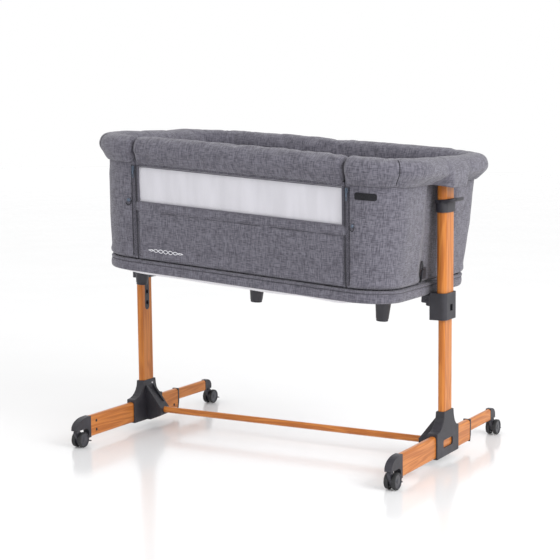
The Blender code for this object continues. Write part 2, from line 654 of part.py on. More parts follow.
def lock_bolt(side, sign, bolt_body, rise):
    """The square bolt that enters a pocket of the rack."""
    tip, tail = POST_X - LOWER_W / 2 - GAP, POST_X - LOWER_W / 2 - 0.0225
    ends = sorted((sign * tail, sign * tip))
    half = BOLT_SIDE / 2
    low = (ends[0], POST_Y - half, BOLT_Z - half + rise)
    high = (ends[1], POST_Y + half, BOLT_Z + half + rise)
    ride(box(f"lock_bolt_{side}", low, high, "steel"), bolt_body, (0, 0, 0))


# ---- cradle ----
def half_sizes(z, offset):
    return BASE_L + FLARE * z + offset, BASE_W + FLARE * z + offset


def base_outline(offset, steps=8):
    return centred_outline(2 * (BASE_L + offset), 2 * (BASE_W + offset), BASE_R + offset, steps)


def leaned(x, z):
    """Where the front's cloth is at height z: it hangs plumb, so it shifts towards the cradle's lower end."""
    return x + ZIP_LEAN * (PLUMB_Z - z)


def end_recess(y):
    """How much of the full recess an end wall has at y: all beside the post, none near the corners."""
    share = min(1.0, max(0.0, (0.105 - abs(y)) / 0.055))
    return share * share * (3 - 2 * share)


def wall_path(z, end_steps=12, corner_steps=8):
    """The fixed wall's line at height z, from the drop side's right edge round to its left edge."""
    length, width = half_sizes(z, 0)
    end_y = width - BASE_R
    right = [(PANEL_X + 0.001, -width)]
    right += arc((length - BASE_R, -end_y), BASE_R, BASE_R, -90, 0, corner_steps)
    for i in range(1, end_steps):
        y = -end_y + 2 * end_y * i / end_steps
        right.append((length - (length - END_RECESS_X) * end_recess(y), y))
    right += arc((length - BASE_R, end_y), BASE_R, BASE_R, 0, 90, corner_steps)
    path = right + [(-x, y) for x, y in reversed(right)]
    for end in (0, -1):
        path[end] = (leaned(path[end][0], z), -width)
    return path


def wall_fabric(cradle):
    """The body's fixed wall: both ends, the back and the front corners."""
    levels = (WALL_BOTTOM, 0.115, 0.195, WALL_TOP)
    rows = [[(x, y, z) for x, y in wall_path(z)] for z in levels]
    count = len(rows[0])
    points = [point for row in rows for point in row]
    faces = []
    for level in range(len(rows) - 1):
        for i in range(count - 1):
            a = level * count + i
            faces.append((a, a + 1, a + 1 + count, a + count))
    mesh = bpy.data.meshes.new("wall_fabric")
    mesh.from_pydata(points, [], faces)
    wall = add_object("wall_fabric", mesh, "melange_fabric")
    shell = wall.modifiers.new("thickness", "SOLIDIFY")
    shell.thickness = WALL_T
    shell.offset = -1
    in_cradle(wall, cradle)


def in_cradle(obj, cradle):
    return ride(obj, cradle, (PIN_X, 0, -PIN_DROP))


def rim_profile():
    """The padded rim's section: a thick round hood with a slot below for the frame tube."""
    slot_angle = math.degrees(math.asin(RIM_SLOT / RIM_RADIUS))
    core = RIM_TUBE_R + 0.0006
    core_angle = math.degrees(math.asin(0.0074 / core))
    outline = arc((0, 0), RIM_RADIUS, RIM_RADIUS, -90 + slot_angle, 270 - slot_angle, 14)
    outline += arc((0, 0), core, core, 270 - core_angle, -90 + core_angle, 8)
    curve = bpy.data.curves.new("rim_profile", "CURVE")
    curve.dimensions = "2D"
    spline = curve.splines.new("POLY")
    spline.points.add(len(outline) - 1)
    for point, (u, v) in zip(spline.points, outline):
        point.co = (u, v, 0, 1)
    spline.use_cyclic_u = True
    obj = bpy.data.objects.new("rim_profile", curve)
    CUTTERS.objects.link(obj)
    obj.hide_render = True
    return obj


def rim_path(start_x, steps=8):
    """The rim's line from the right of the drop side, round the back, to its left."""
    right = [(start_x, -RIM_W, RIM_Z)]
    for centre_y, start in ((-(RIM_W - RIM_R), -90), (RIM_W - RIM_R, 0)):
        bend = arc((RIM_L - RIM_R, centre_y), RIM_R, RIM_R, start, start + 90, steps)
        right += [(x, y, RIM_Z) for x, y in bend]
    return right + [(-x, y, z) for x, y, z in reversed(right)]


def rims(cradle, drop):
    profile = rim_profile()
    pad = as_mesh(swept("rim_pad", rim_path(PANEL_X + 0.001), 0, "melange_fabric", profile=profile))
    in_cradle(pad, cradle)
    frame = swept("rim_frame", rim_path(PANEL_X + 0.004), RIM_TUBE_R, "steel", sides_level=2)
    in_cradle(frame, cradle)
    ends = [(-PANEL_X, -RIM_W, RIM_Z), (PANEL_X, -RIM_W, RIM_Z)]
    front_pad = as_mesh(swept("drop_rim_pad", ends, 0, "melange_fabric", profile=profile))
    in_drop(front_pad, drop)


def in_drop(obj, drop):
    return ride(obj, drop, (0, HINGE_Y, HINGE_Z))


def drop_rail(drop):
    """The drop side's hoop: the rail in the front rim and two legs down to the hinge line."""
    leg_x, radius = 0.2860, 0.0045
    inset = WALL_T + radius + 0.0007
    right = [(leg_x, -(BASE_W + FLARE * z) + inset, z) for z in (0.0400, 0.2620)]
    right += [(leg_x, -RIM_W, RIM_Z - 0.008), (leg_x - 0.008, -RIM_W, RIM_Z)]
    line = [(-x, y, z) for x, y, z in right] + list(reversed(right))
    line = [(leaned(x, z), y, z) for x, y, z in line]
    in_drop(swept("drop_rail", line, radius, "steel"), drop)


def drop_side(drop):
    """The front panel with its window, and the mesh behind the window."""
    lean = math.atan(FLARE)
    scale = math.sqrt(1 + FLARE * FLARE)
    rows = [z * scale for z in (WALL_BOTTOM, WALL_TOP)]
    outer = rounded_outline(-PANEL_X, PANEL_X, rows[0], rows[1], 0.001, 1)
    window = rounded_outline(-WINDOW_X, WINDOW_X, WINDOW_Z0 * scale, WINDOW_Z1 * scale, 0.004, 3)
    outer, window = ([(leaned(x, up / scale), up) for x, up in loop] for loop in (outer, window))
    middle = -BASE_W + WALL_T / 2
    panel = extruded("drop_panel", [outer, window], WALL_T, "melange_fabric", (0, middle, 0), "Y")
    panel.rotation_euler = (math.pi / 2 + lean, 0, 0)
    in_drop(panel, drop)
    margin, thickness = 0.004, 0.0010
    pane = centred_outline(2 * (WINDOW_X + margin - 0.0095), (WINDOW_Z1 - WINDOW_Z0) * scale + 2 * margin, 0.004, 3)
    pane_z = (WINDOW_Z0 + WINDOW_Z1) / 2
    pane = [(leaned(x, pane_z + up / scale), up) for x, up in pane]
    pane_y = -(BASE_W + FLARE * pane_z) + WALL_T + thickness / 2 + GAP
    mesh_pane = extruded("window_mesh", [pane], thickness, "white_mesh", (0, pane_y, pane_z), "Y")
    mesh_pane.rotation_euler = (math.pi / 2 + lean, 0, 0)
    in_drop(mesh_pane, drop)


def zip_slider(side, sign, slider):
    """A zip slider with its pull tab, on the fixed tape beside the drop side."""
    lean = math.atan(FLARE)
    z = 0.262
    face_y = -(BASE_W + FLARE * z) - 0.0004
    x = leaned(sign * (PANEL_X + 0.0060), z)
    loop = [rounded_outline(-0.0040, 0.0040, -0.0070, 0.0060, 0.0015, 2)]
    body = block(f"zip_slider_{side}", loop, 0.0030, "steel", (x, face_y - 0.0015, z), "Y")
    tab_loop = [rounded_outline(-0.0025, 0.0025, -0.0290, -0.0040, 0.0020, 2)]
    tab = block(f"zip_slider_{side}_tab", tab_loop, 0.0016, None, (x, face_y - 0.0028, z), "Y")
    for piece in (body, tab):
        piece.rotation_euler = (math.pi / 2 + lean, 0, 0)
    join(body, tab)
    ride(body, slider, (PIN_X, 0, -PIN_DROP))
    ride(tab, slider, (PIN_X, 0, -PIN_DROP))


def base_pieces(cradle):
    loops = [base_outline(0.002), base_outline(-0.010)]
    in_cradle(extruded("base_skirt", loops, SKIRT_TOP, "melange_fabric", (0, 0, SKIRT_TOP / 2)), cradle)
    line = [(x, y, 0.0145) for x, y in base_outline(-0.020, 6)]
    in_cradle(swept("base_frame", line, 0.008, "steel", cyclic=True), cradle)
    board_low, board_high = 0.0230, 0.0315
    board_middle = (0, 0, (board_low + board_high) / 2)
    board = extruded("base_board", [base_outline(-0.0110)], board_high - board_low, "white_fabric", board_middle)
    in_cradle(board, cradle)
    bed_low, bed_high = 0.0325, 0.0745
    bed_loop = [centred_outline(0.786, 0.500, 0.085, 8)]
    bed_middle = (0, 0, (bed_low + bed_high) / 2)
    mattress = block("mattress", bed_loop, bed_high - bed_low, "white_fabric", bed_middle, bevel=0.008)
    in_cradle(mattress, cradle)


def end_bracket(side, sign, cradle):
    """The saddle under an end of the base, whose two cheeks hang on the collar's pin."""
    name = f"end_bracket_{side}"
    inner, outer, low, high = PIN_X - 0.0130, PIN_X + 0.0105, -0.0200, -GAP
    loop = [(sign * u, v) for u, v in rounded_outline(inner, outer, low, high, 0.0030, 3)]
    saddle = block(name, [loop], 0.0520, "black_plastic", (0, 0, 0), "Y", bevel=0.001, segments=1)
    notch_ends = sorted((sign * (inner - 0.005), sign * (outer + 0.005)))
    notch = box(f"{name}_notch", (notch_ends[0], -0.0194, low - 0.005), (notch_ends[1], 0.0194, -0.0056))
    slot_reach = 0.0030 if side == "left" else 0.0
    eye = 0.0030 + GAP
    slot_loop = [rounded_outline(-eye - slot_reach, eye, -eye, eye, eye - 0.0001, 5)]
    hole = block(f"{name}_eye", slot_loop, 0.070, None, (sign * PIN_X, 0, -PIN_DROP), "Y")
    cut(saddle, notch, hole)
    for piece in (saddle, notch, hole):
        in_cradle(piece, cradle)


def cradle_feet(cradle):
    height = 0.056
    for row, y in (("front", -0.147), ("back", 0.147)):
        for column, x in (("left", -0.352), ("middle", 0.0), ("right", 0.352)):
            place = (x, y, -GAP - height / 2)
            foot = cylinder(
                f"cradle_foot_{row}_{column}", 0.0145, height, place, "Z", "black_plastic", top_radius=0.0205, sides=20
            )
            in_cradle(foot, cradle)


# ---- assembly ----
def build():
    stretcher()
    cradle = add_empty("cradle_pivot", (PIN_X, POST_Y, PIN_Z), rotation_y=TILT)
    cradle_origin = (PIN_X, 0, -PIN_DROP)
    drop = add_empty("drop_hinge", (0, HINGE_Y, HINGE_Z), cradle, origin=cradle_origin)
    for side, sign in SIDES.items():
        foot_tube(side, sign)
        front_cap(side, sign)
        end_ring(side, sign)
        extension = add_empty(f"extension_{side}_axis", (sign * POST_X, EXT_REAR, (EXT_Z0 + EXT_Z1) / 2))
        foot_extension(side, sign, extension)
        rear_cap(side, sign, extension)
        castor(f"castor_front_{side}", sign * POST_X, STEM_FRONT_Y)
        castor(f"castor_rear_{side}", sign * POST_X, STEM_REAR_Y, extension)
        leg_bracket(side, sign)
        lower_post(side, sign)
        height_rack(side, sign)

        rise = DROP if side == "left" else 0.0
        lift = add_empty(f"lift_{side}_axis", (0, 0, 0))
        lever = add_empty(f"lever_{side}_axis", (0, 0, 0), lift)
        bolt = add_empty(f"bolt_{side}_axis", (0, 0, 0), lift)
        upper_tube(side, sign, lift, rise)
        post_plug(side, sign, lift, rise)
        height_collar(side, sign, lift, rise)
        release_lever(side, sign, lever, rise)
        lock_bolt(side, sign, bolt, rise)

        end_bracket(side, sign, cradle)
        slider = add_empty(f"zip_{side}_axis", cradle_origin, cradle, origin=cradle_origin)
        zip_slider(side, sign, slider)
    base_pieces(cradle)
    cradle_feet(cradle)
    wall_fabric(cradle)
    rims(cradle, drop)
    drop_rail(drop)
    drop_side(drop)


build()
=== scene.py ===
"""Bedside bassinet: a sewn cradle on a wood-look stand with castors.

The cradle has its own frame, in which z = 0 is the bottom of its skirt and it isn't tilted. Its pieces are
made there and then set in place with CRADLE. The stand's pieces are made where they stand:
+X to the right-hand post, +Y to the back, +Z up. All lengths are in metres.
"""

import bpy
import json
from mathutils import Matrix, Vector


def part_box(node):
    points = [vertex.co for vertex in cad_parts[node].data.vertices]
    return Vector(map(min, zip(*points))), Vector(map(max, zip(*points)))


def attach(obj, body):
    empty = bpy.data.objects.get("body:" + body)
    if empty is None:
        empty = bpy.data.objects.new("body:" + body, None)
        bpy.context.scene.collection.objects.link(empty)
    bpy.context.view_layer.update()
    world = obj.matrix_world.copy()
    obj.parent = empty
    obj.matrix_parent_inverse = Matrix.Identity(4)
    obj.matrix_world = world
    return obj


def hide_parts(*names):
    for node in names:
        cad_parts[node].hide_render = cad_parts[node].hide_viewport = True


bl_info = {
    "name": "Bedside Bassinet",
    "version": (1, 0, 0),
    "blender": (4, 5, 0),
    "location": "3D View > Sidebar > Bassinet",
    "description": "Sews the cradle and finishes the stand of a bedside bassinet",
    "category": "Object",
}

import json
import math

import bmesh
import bpy
import numpy as np
from bpy.props import FloatProperty, FloatVectorProperty, PointerProperty
from mathutils import Matrix, Vector, noise

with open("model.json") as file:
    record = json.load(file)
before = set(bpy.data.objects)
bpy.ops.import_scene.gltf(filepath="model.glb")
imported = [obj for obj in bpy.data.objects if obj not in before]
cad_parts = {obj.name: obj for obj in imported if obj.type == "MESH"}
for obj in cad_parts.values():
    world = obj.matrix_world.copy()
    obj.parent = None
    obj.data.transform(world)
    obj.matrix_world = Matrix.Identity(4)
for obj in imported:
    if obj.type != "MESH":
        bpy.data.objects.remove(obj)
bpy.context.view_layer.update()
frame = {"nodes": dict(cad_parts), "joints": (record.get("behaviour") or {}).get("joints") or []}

NODES = frame["nodes"]
JOINTS = {joint["name"]: joint for joint in frame["joints"]}
SIDES = {"left": -1, "right": 1}

# ---- the cradle's frame, from its two joints ----
PIN = Vector(JOINTS["cradle_tilt"]["pos_m"])
PIN_DROP = 0.012  # the pivot pin hangs this far below the skirt
HINGE_AXIS = JOINTS["drop_side_hinge"]["axis"]
TILT = math.atan2(-HINGE_AXIS[2], HINGE_AXIS[0])
CRADLE = (
    Matrix.Translation(PIN)
    @ Matrix.Rotation(TILT, 4, "Y")
    @ Matrix.Translation((-PIN.x, 0, PIN_DROP))
)
TO_CRADLE = CRADLE.inverted()


def cradle_box(node):
    """A node's lowest and highest corner, measured in the cradle's own frame."""
    points = np.array([TO_CRADLE @ v.co for v in NODES[node].data.vertices])
    return Vector(points.min(axis=0)), Vector(points.max(axis=0))


SKIRT_PROUD = 0.002  # the skirt stands this far outside the base outline
SKIRT_HIGH = cradle_box("base_skirt")[1]
WALL_LOW, WALL_HIGH = cradle_box("wall_fabric")
RIM_LOW, RIM_HIGH = cradle_box("rim_pad")
BED_LOW, BED_HIGH = cradle_box("mattress")
PANEL_X = cradle_box("drop_rim_pad")[1].x  # half the width of the drop side

BASE_L, BASE_W, BASE_R = SKIRT_HIGH.x - SKIRT_PROUD, SKIRT_HIGH.y - SKIRT_PROUD, 0.100
FLARE = (WALL_HIGH.y - BASE_W) / WALL_HIGH.z
RIM_RADIUS = (RIM_HIGH.z - RIM_LOW.z) / 2
RIM_L, RIM_W, RIM_R = RIM_HIGH.x - RIM_RADIUS, RIM_HIGH.y - RIM_RADIUS, 0.115
RIM_Z = (RIM_HIGH.z + RIM_LOW.z) / 2
END_RECESS_X = 0.4035  # the end walls step in to here beside the posts
WALL_T = 0.0055

WINDOW_X, WINDOW_Z0, WINDOW_Z1 = 0.2880, 0.1790, 0.2680
ZIP_AXIS = (CRADLE.to_3x3().inverted() @ Vector(JOINTS["zip_slide_right"]["axis"])).normalized()
LEAN = ZIP_AXIS.x / -ZIP_AXIS.z  # the zips' sideways run per metre of height
PLUMB_Z = 0.300  # at this height the front is where it would be without the lean
FRONT_ONLY = -0.255  # the lean reaches only the cloth in front of this
BAND_Z0 = 0.1545  # the raised band runs from here up to the window

POST_Y = PIN.y


# ---- curves and outlines ----
def blend_between(low, high, value):
    """0 below low, 1 above high, and a smooth step between them."""
    share = min(1.0, max(0.0, (value - low) / (high - low)))
    return share * share * (3 - 2 * share)


def arc(centre, radius_u, radius_v, start, end, steps):
    """Points of an elliptic arc, by angles in degrees."""
    angles = [math.radians(start + (end - start) * i / steps) for i in range(steps + 1)]
    return [(centre[0] + radius_u * math.cos(a), centre[1] + radius_v * math.sin(a)) for a in angles]


def rounded_outline(x0, x1, y0, y1, radii, steps=6):
    """A rectangle's outline, anticlockwise from the lower left, with an arc at each corner."""
    if not hasattr(radii, "__len__"):
        radii = (radii,) * 4
    corners = ((x0, y0, 1, 1, 180), (x1, y0, -1, 1, 270), (x1, y1, -1, -1, 0), (x0, y1, 1, -1, 90))
    points = []
    for (x, y, inward_x, inward_y, start), radius in zip(corners, radii):
        centre = (x + inward_x * radius, y + inward_y * radius)
        points += arc(centre, radius, radius, start, start + 90, steps)
    return points


def smooth_loop(keys, count):
    """A closed Catmull-Rom curve through keys, as count points spaced evenly from the first key."""
    keys = np.array(keys, float)
    fine = []
    for i in range(len(keys)):
        a, b, c, d = (keys[(i + k) % len(keys)] for k in (-1, 0, 1, 2))
        for t in np.linspace(0, 1, 12, endpoint=False):
            curve = 2 * b + (c - a) * t + (2 * a - 5 * b + 4 * c - d) * t**2
            fine.append(0.5 * (curve + (3 * b - a - 3 * c + d) * t**3))
    fine = np.array(fine + [fine[0]])
    length = np.concatenate([[0], np.cumsum(np.linalg.norm(np.diff(fine, axis=0), axis=1))])
    wanted = np.linspace(0, length[-1], count, endpoint=False)
    return np.stack([np.interp(wanted, length, fine[:, k]) for k in (0, 1)], axis=1)


def stations(x_start, spacing, closed=False):
    """Places round the cradle, as (segment, share of it), from the front's x_start round to -x_start."""
    straight = (RIM_L - RIM_R - x_start, 2 * (RIM_W - RIM_R), 2 * (RIM_L - RIM_R))
    bend = RIM_R * math.pi / 2
    lengths = (straight[0], bend, straight[1], bend, straight[2], bend, straight[1], bend, straight[0])
    places = []
    for segment, length in enumerate(lengths):
        count = max(2, round(length / spacing))
        places += [(segment, i / count) for i in range(count)]
    return places if closed else places + [(8, 1.0)]


def outline_place(station, length, width, radius, x_start):
    """A station's point on a rounded rectangle and the outward direction there."""
    segment, share = station
    if segment % 2:
        turn = (segment - 1) // 2
        sign_x, sign_y = ((1, -1), (1, 1), (-1, 1), (-1, -1))[turn]
        angle = math.radians(90 * (turn - 1 + share))
        centre = Vector((sign_x * (length - radius), sign_y * (width - radius)))
        outward = Vector((math.cos(angle), math.sin(angle)))
        return centre + radius * outward, outward
    ends = {
        0: ((x_start, -width), (length - radius, -width), (0, -1)),
        2: ((length, -(width - radius)), (length, width - radius), (1, 0)),
        4: ((length - radius, width), (-(length - radius), width), (0, 1)),
        6: ((-length, width - radius), (-length, -(width - radius)), (-1, 0)),
        8: ((-(length - radius), -width), (-x_start, -width), (0, -1)),
    }
    start, end, outward = ends[segment]
    return Vector(start).lerp(Vector(end), share), Vector(outward)


def end_recess(y):
    """How much of the full recess an end wall has at y: all beside the post, none near the corners."""
    return 1 - blend_between(0.050, 0.105, abs(y))


def wall_place(station, z, x_start=0.0):
    """The wall's outer surface at a station and height, and the outward direction there."""
    length, width = BASE_L + FLARE * z, BASE_W + FLARE * z
    point, outward = outline_place(station, length, width, BASE_R, x_start)
    if station[0] in (2, 6):
        side = math.copysign(1, point.x)
        point.x -= side * (length - END_RECESS_X) * end_recess(point.y)
    return point, outward


# ---- meshes ----
TINY = 1e-6  # points closer than this are one point


def new_object(name, mesh, material):
    obj = bpy.data.objects.new(name, mesh)
    bpy.context.scene.collection.objects.link(obj)
    if material:
        mesh.materials.append(material)
    return obj


def running_length(points):
    """The distance from the first point to each point, along them."""
    return [0.0] + list(np.cumsum([(Vector(b) - Vector(a)).length for a, b in zip(points, points[1:])]))


def grid_object(name, rows, material, wrap_rows=False, wrap_columns=False, skip=None):
    """A smooth surface through rows of points. Its UVs are metres along the columns and up the rows."""
    count, height = len(rows[0]), len(rows)
    middle = list(rows[height // 2])
    side = [row[count // 2] for row in rows]
    along = running_length(middle + [middle[0]])
    up = running_length(side + [side[0]])
    faces, uvs = [], []
    for r in range(height if wrap_rows else height - 1):
        for c in range(count if wrap_columns else count - 1):
            if skip and skip(r, c):
                continue
            next_r, next_c = (r + 1) % height, (c + 1) % count
            low, high = r * count, next_r * count
            faces.append((low + c, low + next_c, high + next_c, high + c))
            (u0, u1), (v0, v1) = along[c : c + 2], up[r : r + 2]
            uvs += [(u0, v0), (u1, v0), (u1, v1), (u0, v1)]
    mesh = bpy.data.meshes.new(name)
    mesh.from_pydata([tuple(p) for row in rows for p in row], [], faces)
    layer = mesh.uv_layers.new(name="weave")
    layer.data.foreach_set("uv", [value for uv in uvs for value in uv])
    mesh.shade_smooth()
    return new_object(name, mesh, material)


def opened(mesh):
    """A mesh opened for editing."""
    body = bmesh.new()
    body.from_mesh(mesh)
    return body


def put_back(body, mesh):
    body.to_mesh(mesh)
    body.free()


def new_mesh(name, body):
    mesh = bpy.data.meshes.new(name)
    put_back(body, mesh)
    return mesh


def prune(obj):
    """Takes away points that no face uses."""
    body = opened(obj.data)
    bmesh.ops.delete(body, geom=[v for v in body.verts if not v.link_faces], context="VERTS")
    put_back(body, obj.data)


def close_ends(obj):
    """Fills the open ends of a tube-like grid."""
    body = opened(obj.data)
    bmesh.ops.holes_fill(body, edges=[e for e in body.edges if e.is_boundary], sides=0)
    bmesh.ops.recalc_face_normals(body, faces=body.faces)
    put_back(body, obj.data)


def apply_modifiers(obj):
    """Makes the evaluated shape the object's own mesh."""
    bpy.context.view_layer.update()
    graph = bpy.context.evaluated_depsgraph_get()
    mesh = bpy.data.meshes.new_from_object(obj.evaluated_get(graph))
    obj.modifiers.clear()
    old = obj.data
    obj.data = mesh
    mesh.name = obj.name
    bpy.data.meshes.remove(old)


def thicken(obj, thickness, offset=-1.0):
    shell = obj.modifiers.new("thickness", "SOLIDIFY")
    shell.thickness = thickness
    shell.offset = offset
    shell.use_even_offset = True
    apply_modifiers(obj)


def subdivide(obj, levels=1):
    surface = obj.modifiers.new("surface", "SUBSURF")
    surface.levels = surface.render_levels = levels
    apply_modifiers(obj)
    obj.data.shade_smooth()


def round_edges(obj, width, segments=3, angle=35):
    rounding = obj.modifiers.new("rounding", "BEVEL")
    rounding.width = width
    rounding.segments = segments
    rounding.limit_method = "ANGLE"
    rounding.angle_limit = math.radians(angle)
    apply_modifiers(obj)


def smooth_by_angle(obj, angle=32):
    obj.data.shade_smooth()
    obj.data.set_sharp_from_angle(angle=math.radians(angle))


def prism(name, outline, depth, centre=(0, 0, 0), axis="Z", material=None, bevel=0.0, segments=3):
    """An outline extruded by depth along axis, about centre. Outline (u, v) is XY, XZ or YZ."""
    body = bmesh.new()
    places = {
        "X": lambda u, v, d: (d, u, v),
        "Y": lambda u, v, d: (u, d, v),
        "Z": lambda u, v, d: (u, v, d),
    }
    bottom = [body.verts.new(places[axis](u, v, -depth / 2)) for u, v in outline]
    face = body.faces.new(bottom)
    grown = bmesh.ops.extrude_face_region(body, geom=[face])["geom"]
    push = Vector(places[axis](0, 0, depth))
    bmesh.ops.translate(body, verts=[g for g in grown if isinstance(g, bmesh.types.BMVert)], vec=push)
    bmesh.ops.remove_doubles(body, verts=body.verts, dist=TINY)
    bmesh.ops.recalc_face_normals(body, faces=body.faces)
    mesh = new_mesh(name, body)
    mesh.transform(Matrix.Translation(centre))
    obj = new_object(name, mesh, material)
    if bevel:
        round_edges(obj, bevel, segments)
    smooth_by_angle(obj)
    return obj


def turned(name, profile, centre, axis="Z", material=None, sides=40):
    """A profile of (radius, height) from one end of the axis to the other, turned to a closed solid."""
    body = bmesh.new()
    rings = []
    for radius, height in profile:
        if radius < TINY:
            rings.append([body.verts.new((0, 0, height))])
            continue
        turn = [2 * math.pi * i / sides for i in range(sides)]
        rings.append([body.verts.new((radius * math.cos(a), radius * math.sin(a), height)) for a in turn])
    for lower, upper in zip(rings, rings[1:]):
        for i in range(sides):
            corners = [lower[i % len(lower)], lower[(i + 1) % len(lower)]]
            corners += [upper[(i + 1) % len(upper)], upper[i % len(upper)]]
            unique = list(dict.fromkeys(corners))
            if len(unique) > 2:
                body.faces.new(unique)
    for ring in (rings[0], rings[-1]):
        if len(ring) > 1:
            body.faces.new(ring)
    bmesh.ops.recalc_face_normals(body, faces=body.faces)
    mesh = new_mesh(name, body)
    turns = {
        "X": Matrix.Rotation(math.pi / 2, 4, "Y"),
        "Y": Matrix.Rotation(-math.pi / 2, 4, "X"),
        "Z": Matrix(),
    }
    mesh.transform(Matrix.Translation(centre) @ turns[axis])
    obj = new_object(name, mesh, material)
    smooth_by_angle(obj)
    return obj


def combine(target, others, operation="DIFFERENCE"):
    """A Boolean of target with each of the others, which are then removed."""
    for other in others:
        cutting = target.modifiers.new(operation.lower(), "BOOLEAN")
        cutting.operation = operation
        cutting.object = other
        cutting.solver = "EXACT"
        apply_modifiers(target)
        bpy.data.objects.remove(other)
    smooth_by_angle(target)
    return target


def merged(name, pieces):
    """Several solids as one object, each still closed by itself."""
    body = bmesh.new()
    materials = []
    for piece in pieces:
        own = piece.data.materials[0]
        if own not in materials:
            materials.append(own)
        start = len(body.faces)
        piece.data.transform(piece.matrix_world)
        body.from_mesh(piece.data)
        body.faces.ensure_lookup_table()
        for face in body.faces[start:]:
            face.material_index = materials.index(own)
    mesh = new_mesh(name, body)
    for piece in pieces:
        bpy.data.objects.remove(piece)
    obj = new_object(name, mesh, None)
    for material in materials:
        mesh.materials.append(material)
    smooth_by_angle(obj)
    return obj


def joined(name, pieces):
    """Like pieces as one object, each keeping its own materials in the same slots."""
    body = bmesh.new()
    for piece in pieces:
        body.from_mesh(piece.data)
    mesh = new_mesh(name, body)
    obj = new_object(name, mesh, None)
    for material in pieces[0].data.materials:
        mesh.materials.append(material)
    for piece in pieces:
        bpy.data.objects.remove(piece)
    smooth_by_angle(obj)
    return obj


def tube(name, points, radius, material, closed=False, sides=10):
    """A round cord or wire through points, as a closed mesh."""
    curve = bpy.data.curves.new(name, "CURVE")
    curve.dimensions = "3D"
    curve.bevel_depth = radius
    curve.bevel_resolution = max(0, sides // 4 - 1)
    curve.use_fill_caps = True
    spline = curve.splines.new("POLY")
    spline.points.add(len(points) - 1)
    for point, place in zip(spline.points, points):
        point.co = (*place, 1)
    spline.use_cyclic_u = closed
    holder = bpy.data.objects.new(name, curve)
    bpy.context.scene.collection.objects.link(holder)
    bpy.context.view_layer.update()
    graph = bpy.context.evaluated_depsgraph_get()
    mesh = bpy.data.meshes.new_from_object(holder.evaluated_get(graph))
    bpy.data.objects.remove(holder)
    body = opened(mesh)
    bmesh.ops.remove_doubles(body, verts=body.verts, dist=TINY)
    put_back(body, mesh)
    mesh.materials.clear()
    obj = new_object(name, mesh, material)
    smooth_by_angle(obj, 50)
    return obj


def stitch_row(name, points, material, length=0.0032, gap=0.0022, radius=0.00042):
    """A row of short stitches along a line of points."""
    line = [Vector(p) for p in points]
    run = running_length(line)
    body = bmesh.new()
    place = gap
    while place + length < run[-1]:
        ends = []
        for distance in (place, place + length):
            i = max(1, int(np.searchsorted(run, distance)))
            share = (distance - run[i - 1]) / max(1e-9, run[i] - run[i - 1])
            ends.append(line[i - 1].lerp(line[i], share))
        direction = ends[1] - ends[0]
        turn = direction.to_track_quat("Z", "Y").to_matrix().to_4x4()
        fit = Matrix.Diagonal((radius, radius, direction.length / 2, 1))
        matrix = Matrix.Translation((ends[0] + ends[1]) / 2) @ turn @ fit
        bmesh.ops.create_icosphere(body, subdivisions=1, radius=1.0, matrix=matrix)
        place += length + gap
    mesh = new_mesh(name, body)
    mesh.shade_smooth()
    return new_object(name, mesh, material)


def lean_front(obj):
    """Lets the front hang plumb: low down, its cloth and zips shift towards the cradle's lower end."""
    for vertex in obj.data.vertices:
        x, y, z = vertex.co
        if y < FRONT_ONLY and SKIRT_HIGH.z < z < RIM_LOW.z + 0.001:
            fade = 1 - blend_between(PANEL_X + 0.002, PANEL_X + 0.050, abs(x))
            vertex.co.x += LEAN * (PLUMB_Z - z) * fade


def in_cradle(obj, body="cradle", replaces=()):
    """Sets a piece made in the cradle's frame in its place, riding on a body."""
    lean_front(obj)
    obj.data.transform(CRADLE)
    return on_frame(obj, body, replaces)


def on_frame(obj, body, replaces=()):
    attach(obj, body)
    if replaces:
        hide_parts(*replaces)
    return obj


def soft_noise(place, scale, seed=0.0):
    """Smooth noise from about -1 to 1, with features about 1 / scale metres long."""
    x, y, z = (value * scale for value in place)
    return noise.noise(Vector((x + seed, y - seed, z + 2 * seed)))


def inflate(obj, pinned, pressure, cap, shrink=0.0, bending=0.4, frames=20):
    """Puffs a closed cloth up between its pinned points, and moves no point further than cap."""
    rest = np.array([v.co for v in obj.data.vertices])
    group = obj.vertex_groups.new(name="sewn")
    for index, weight in pinned.items():
        group.add([index], weight, "REPLACE")
    cloth = obj.modifiers.new("cloth", "CLOTH")
    settings = cloth.settings
    settings.quality = 6
    settings.mass = 0.2
    settings.tension_stiffness = settings.compression_stiffness = 12
    settings.shear_stiffness = 6
    settings.bending_stiffness = bending
    settings.shrink_min = shrink
    settings.use_pressure = True
    settings.uniform_pressure_force = pressure
    settings.effector_weights.gravity = 0
    settings.vertex_group_mass = "sewn"
    settings.pin_stiffness = 1.0
    cloth.point_cache.frame_start, cloth.point_cache.frame_end = 1, frames
    scene = bpy.context.scene
    for number in range(1, frames + 1):
        scene.frame_set(number)
    evaluated = obj.evaluated_get(bpy.context.evaluated_depsgraph_get())
    moved = np.array([v.co for v in evaluated.data.vertices]) - rest
    obj.modifiers.clear()
    obj.vertex_groups.clear()
    scene.frame_set(1)
    distance = np.linalg.norm(moved, axis=1, keepdims=True)
    held = cap * np.tanh(distance / cap)
    final = rest + moved * held / np.maximum(distance, 1e-9)
    obj.data.vertices.foreach_set("co", final.astype(np.float32).ravel())
    obj.data.update()


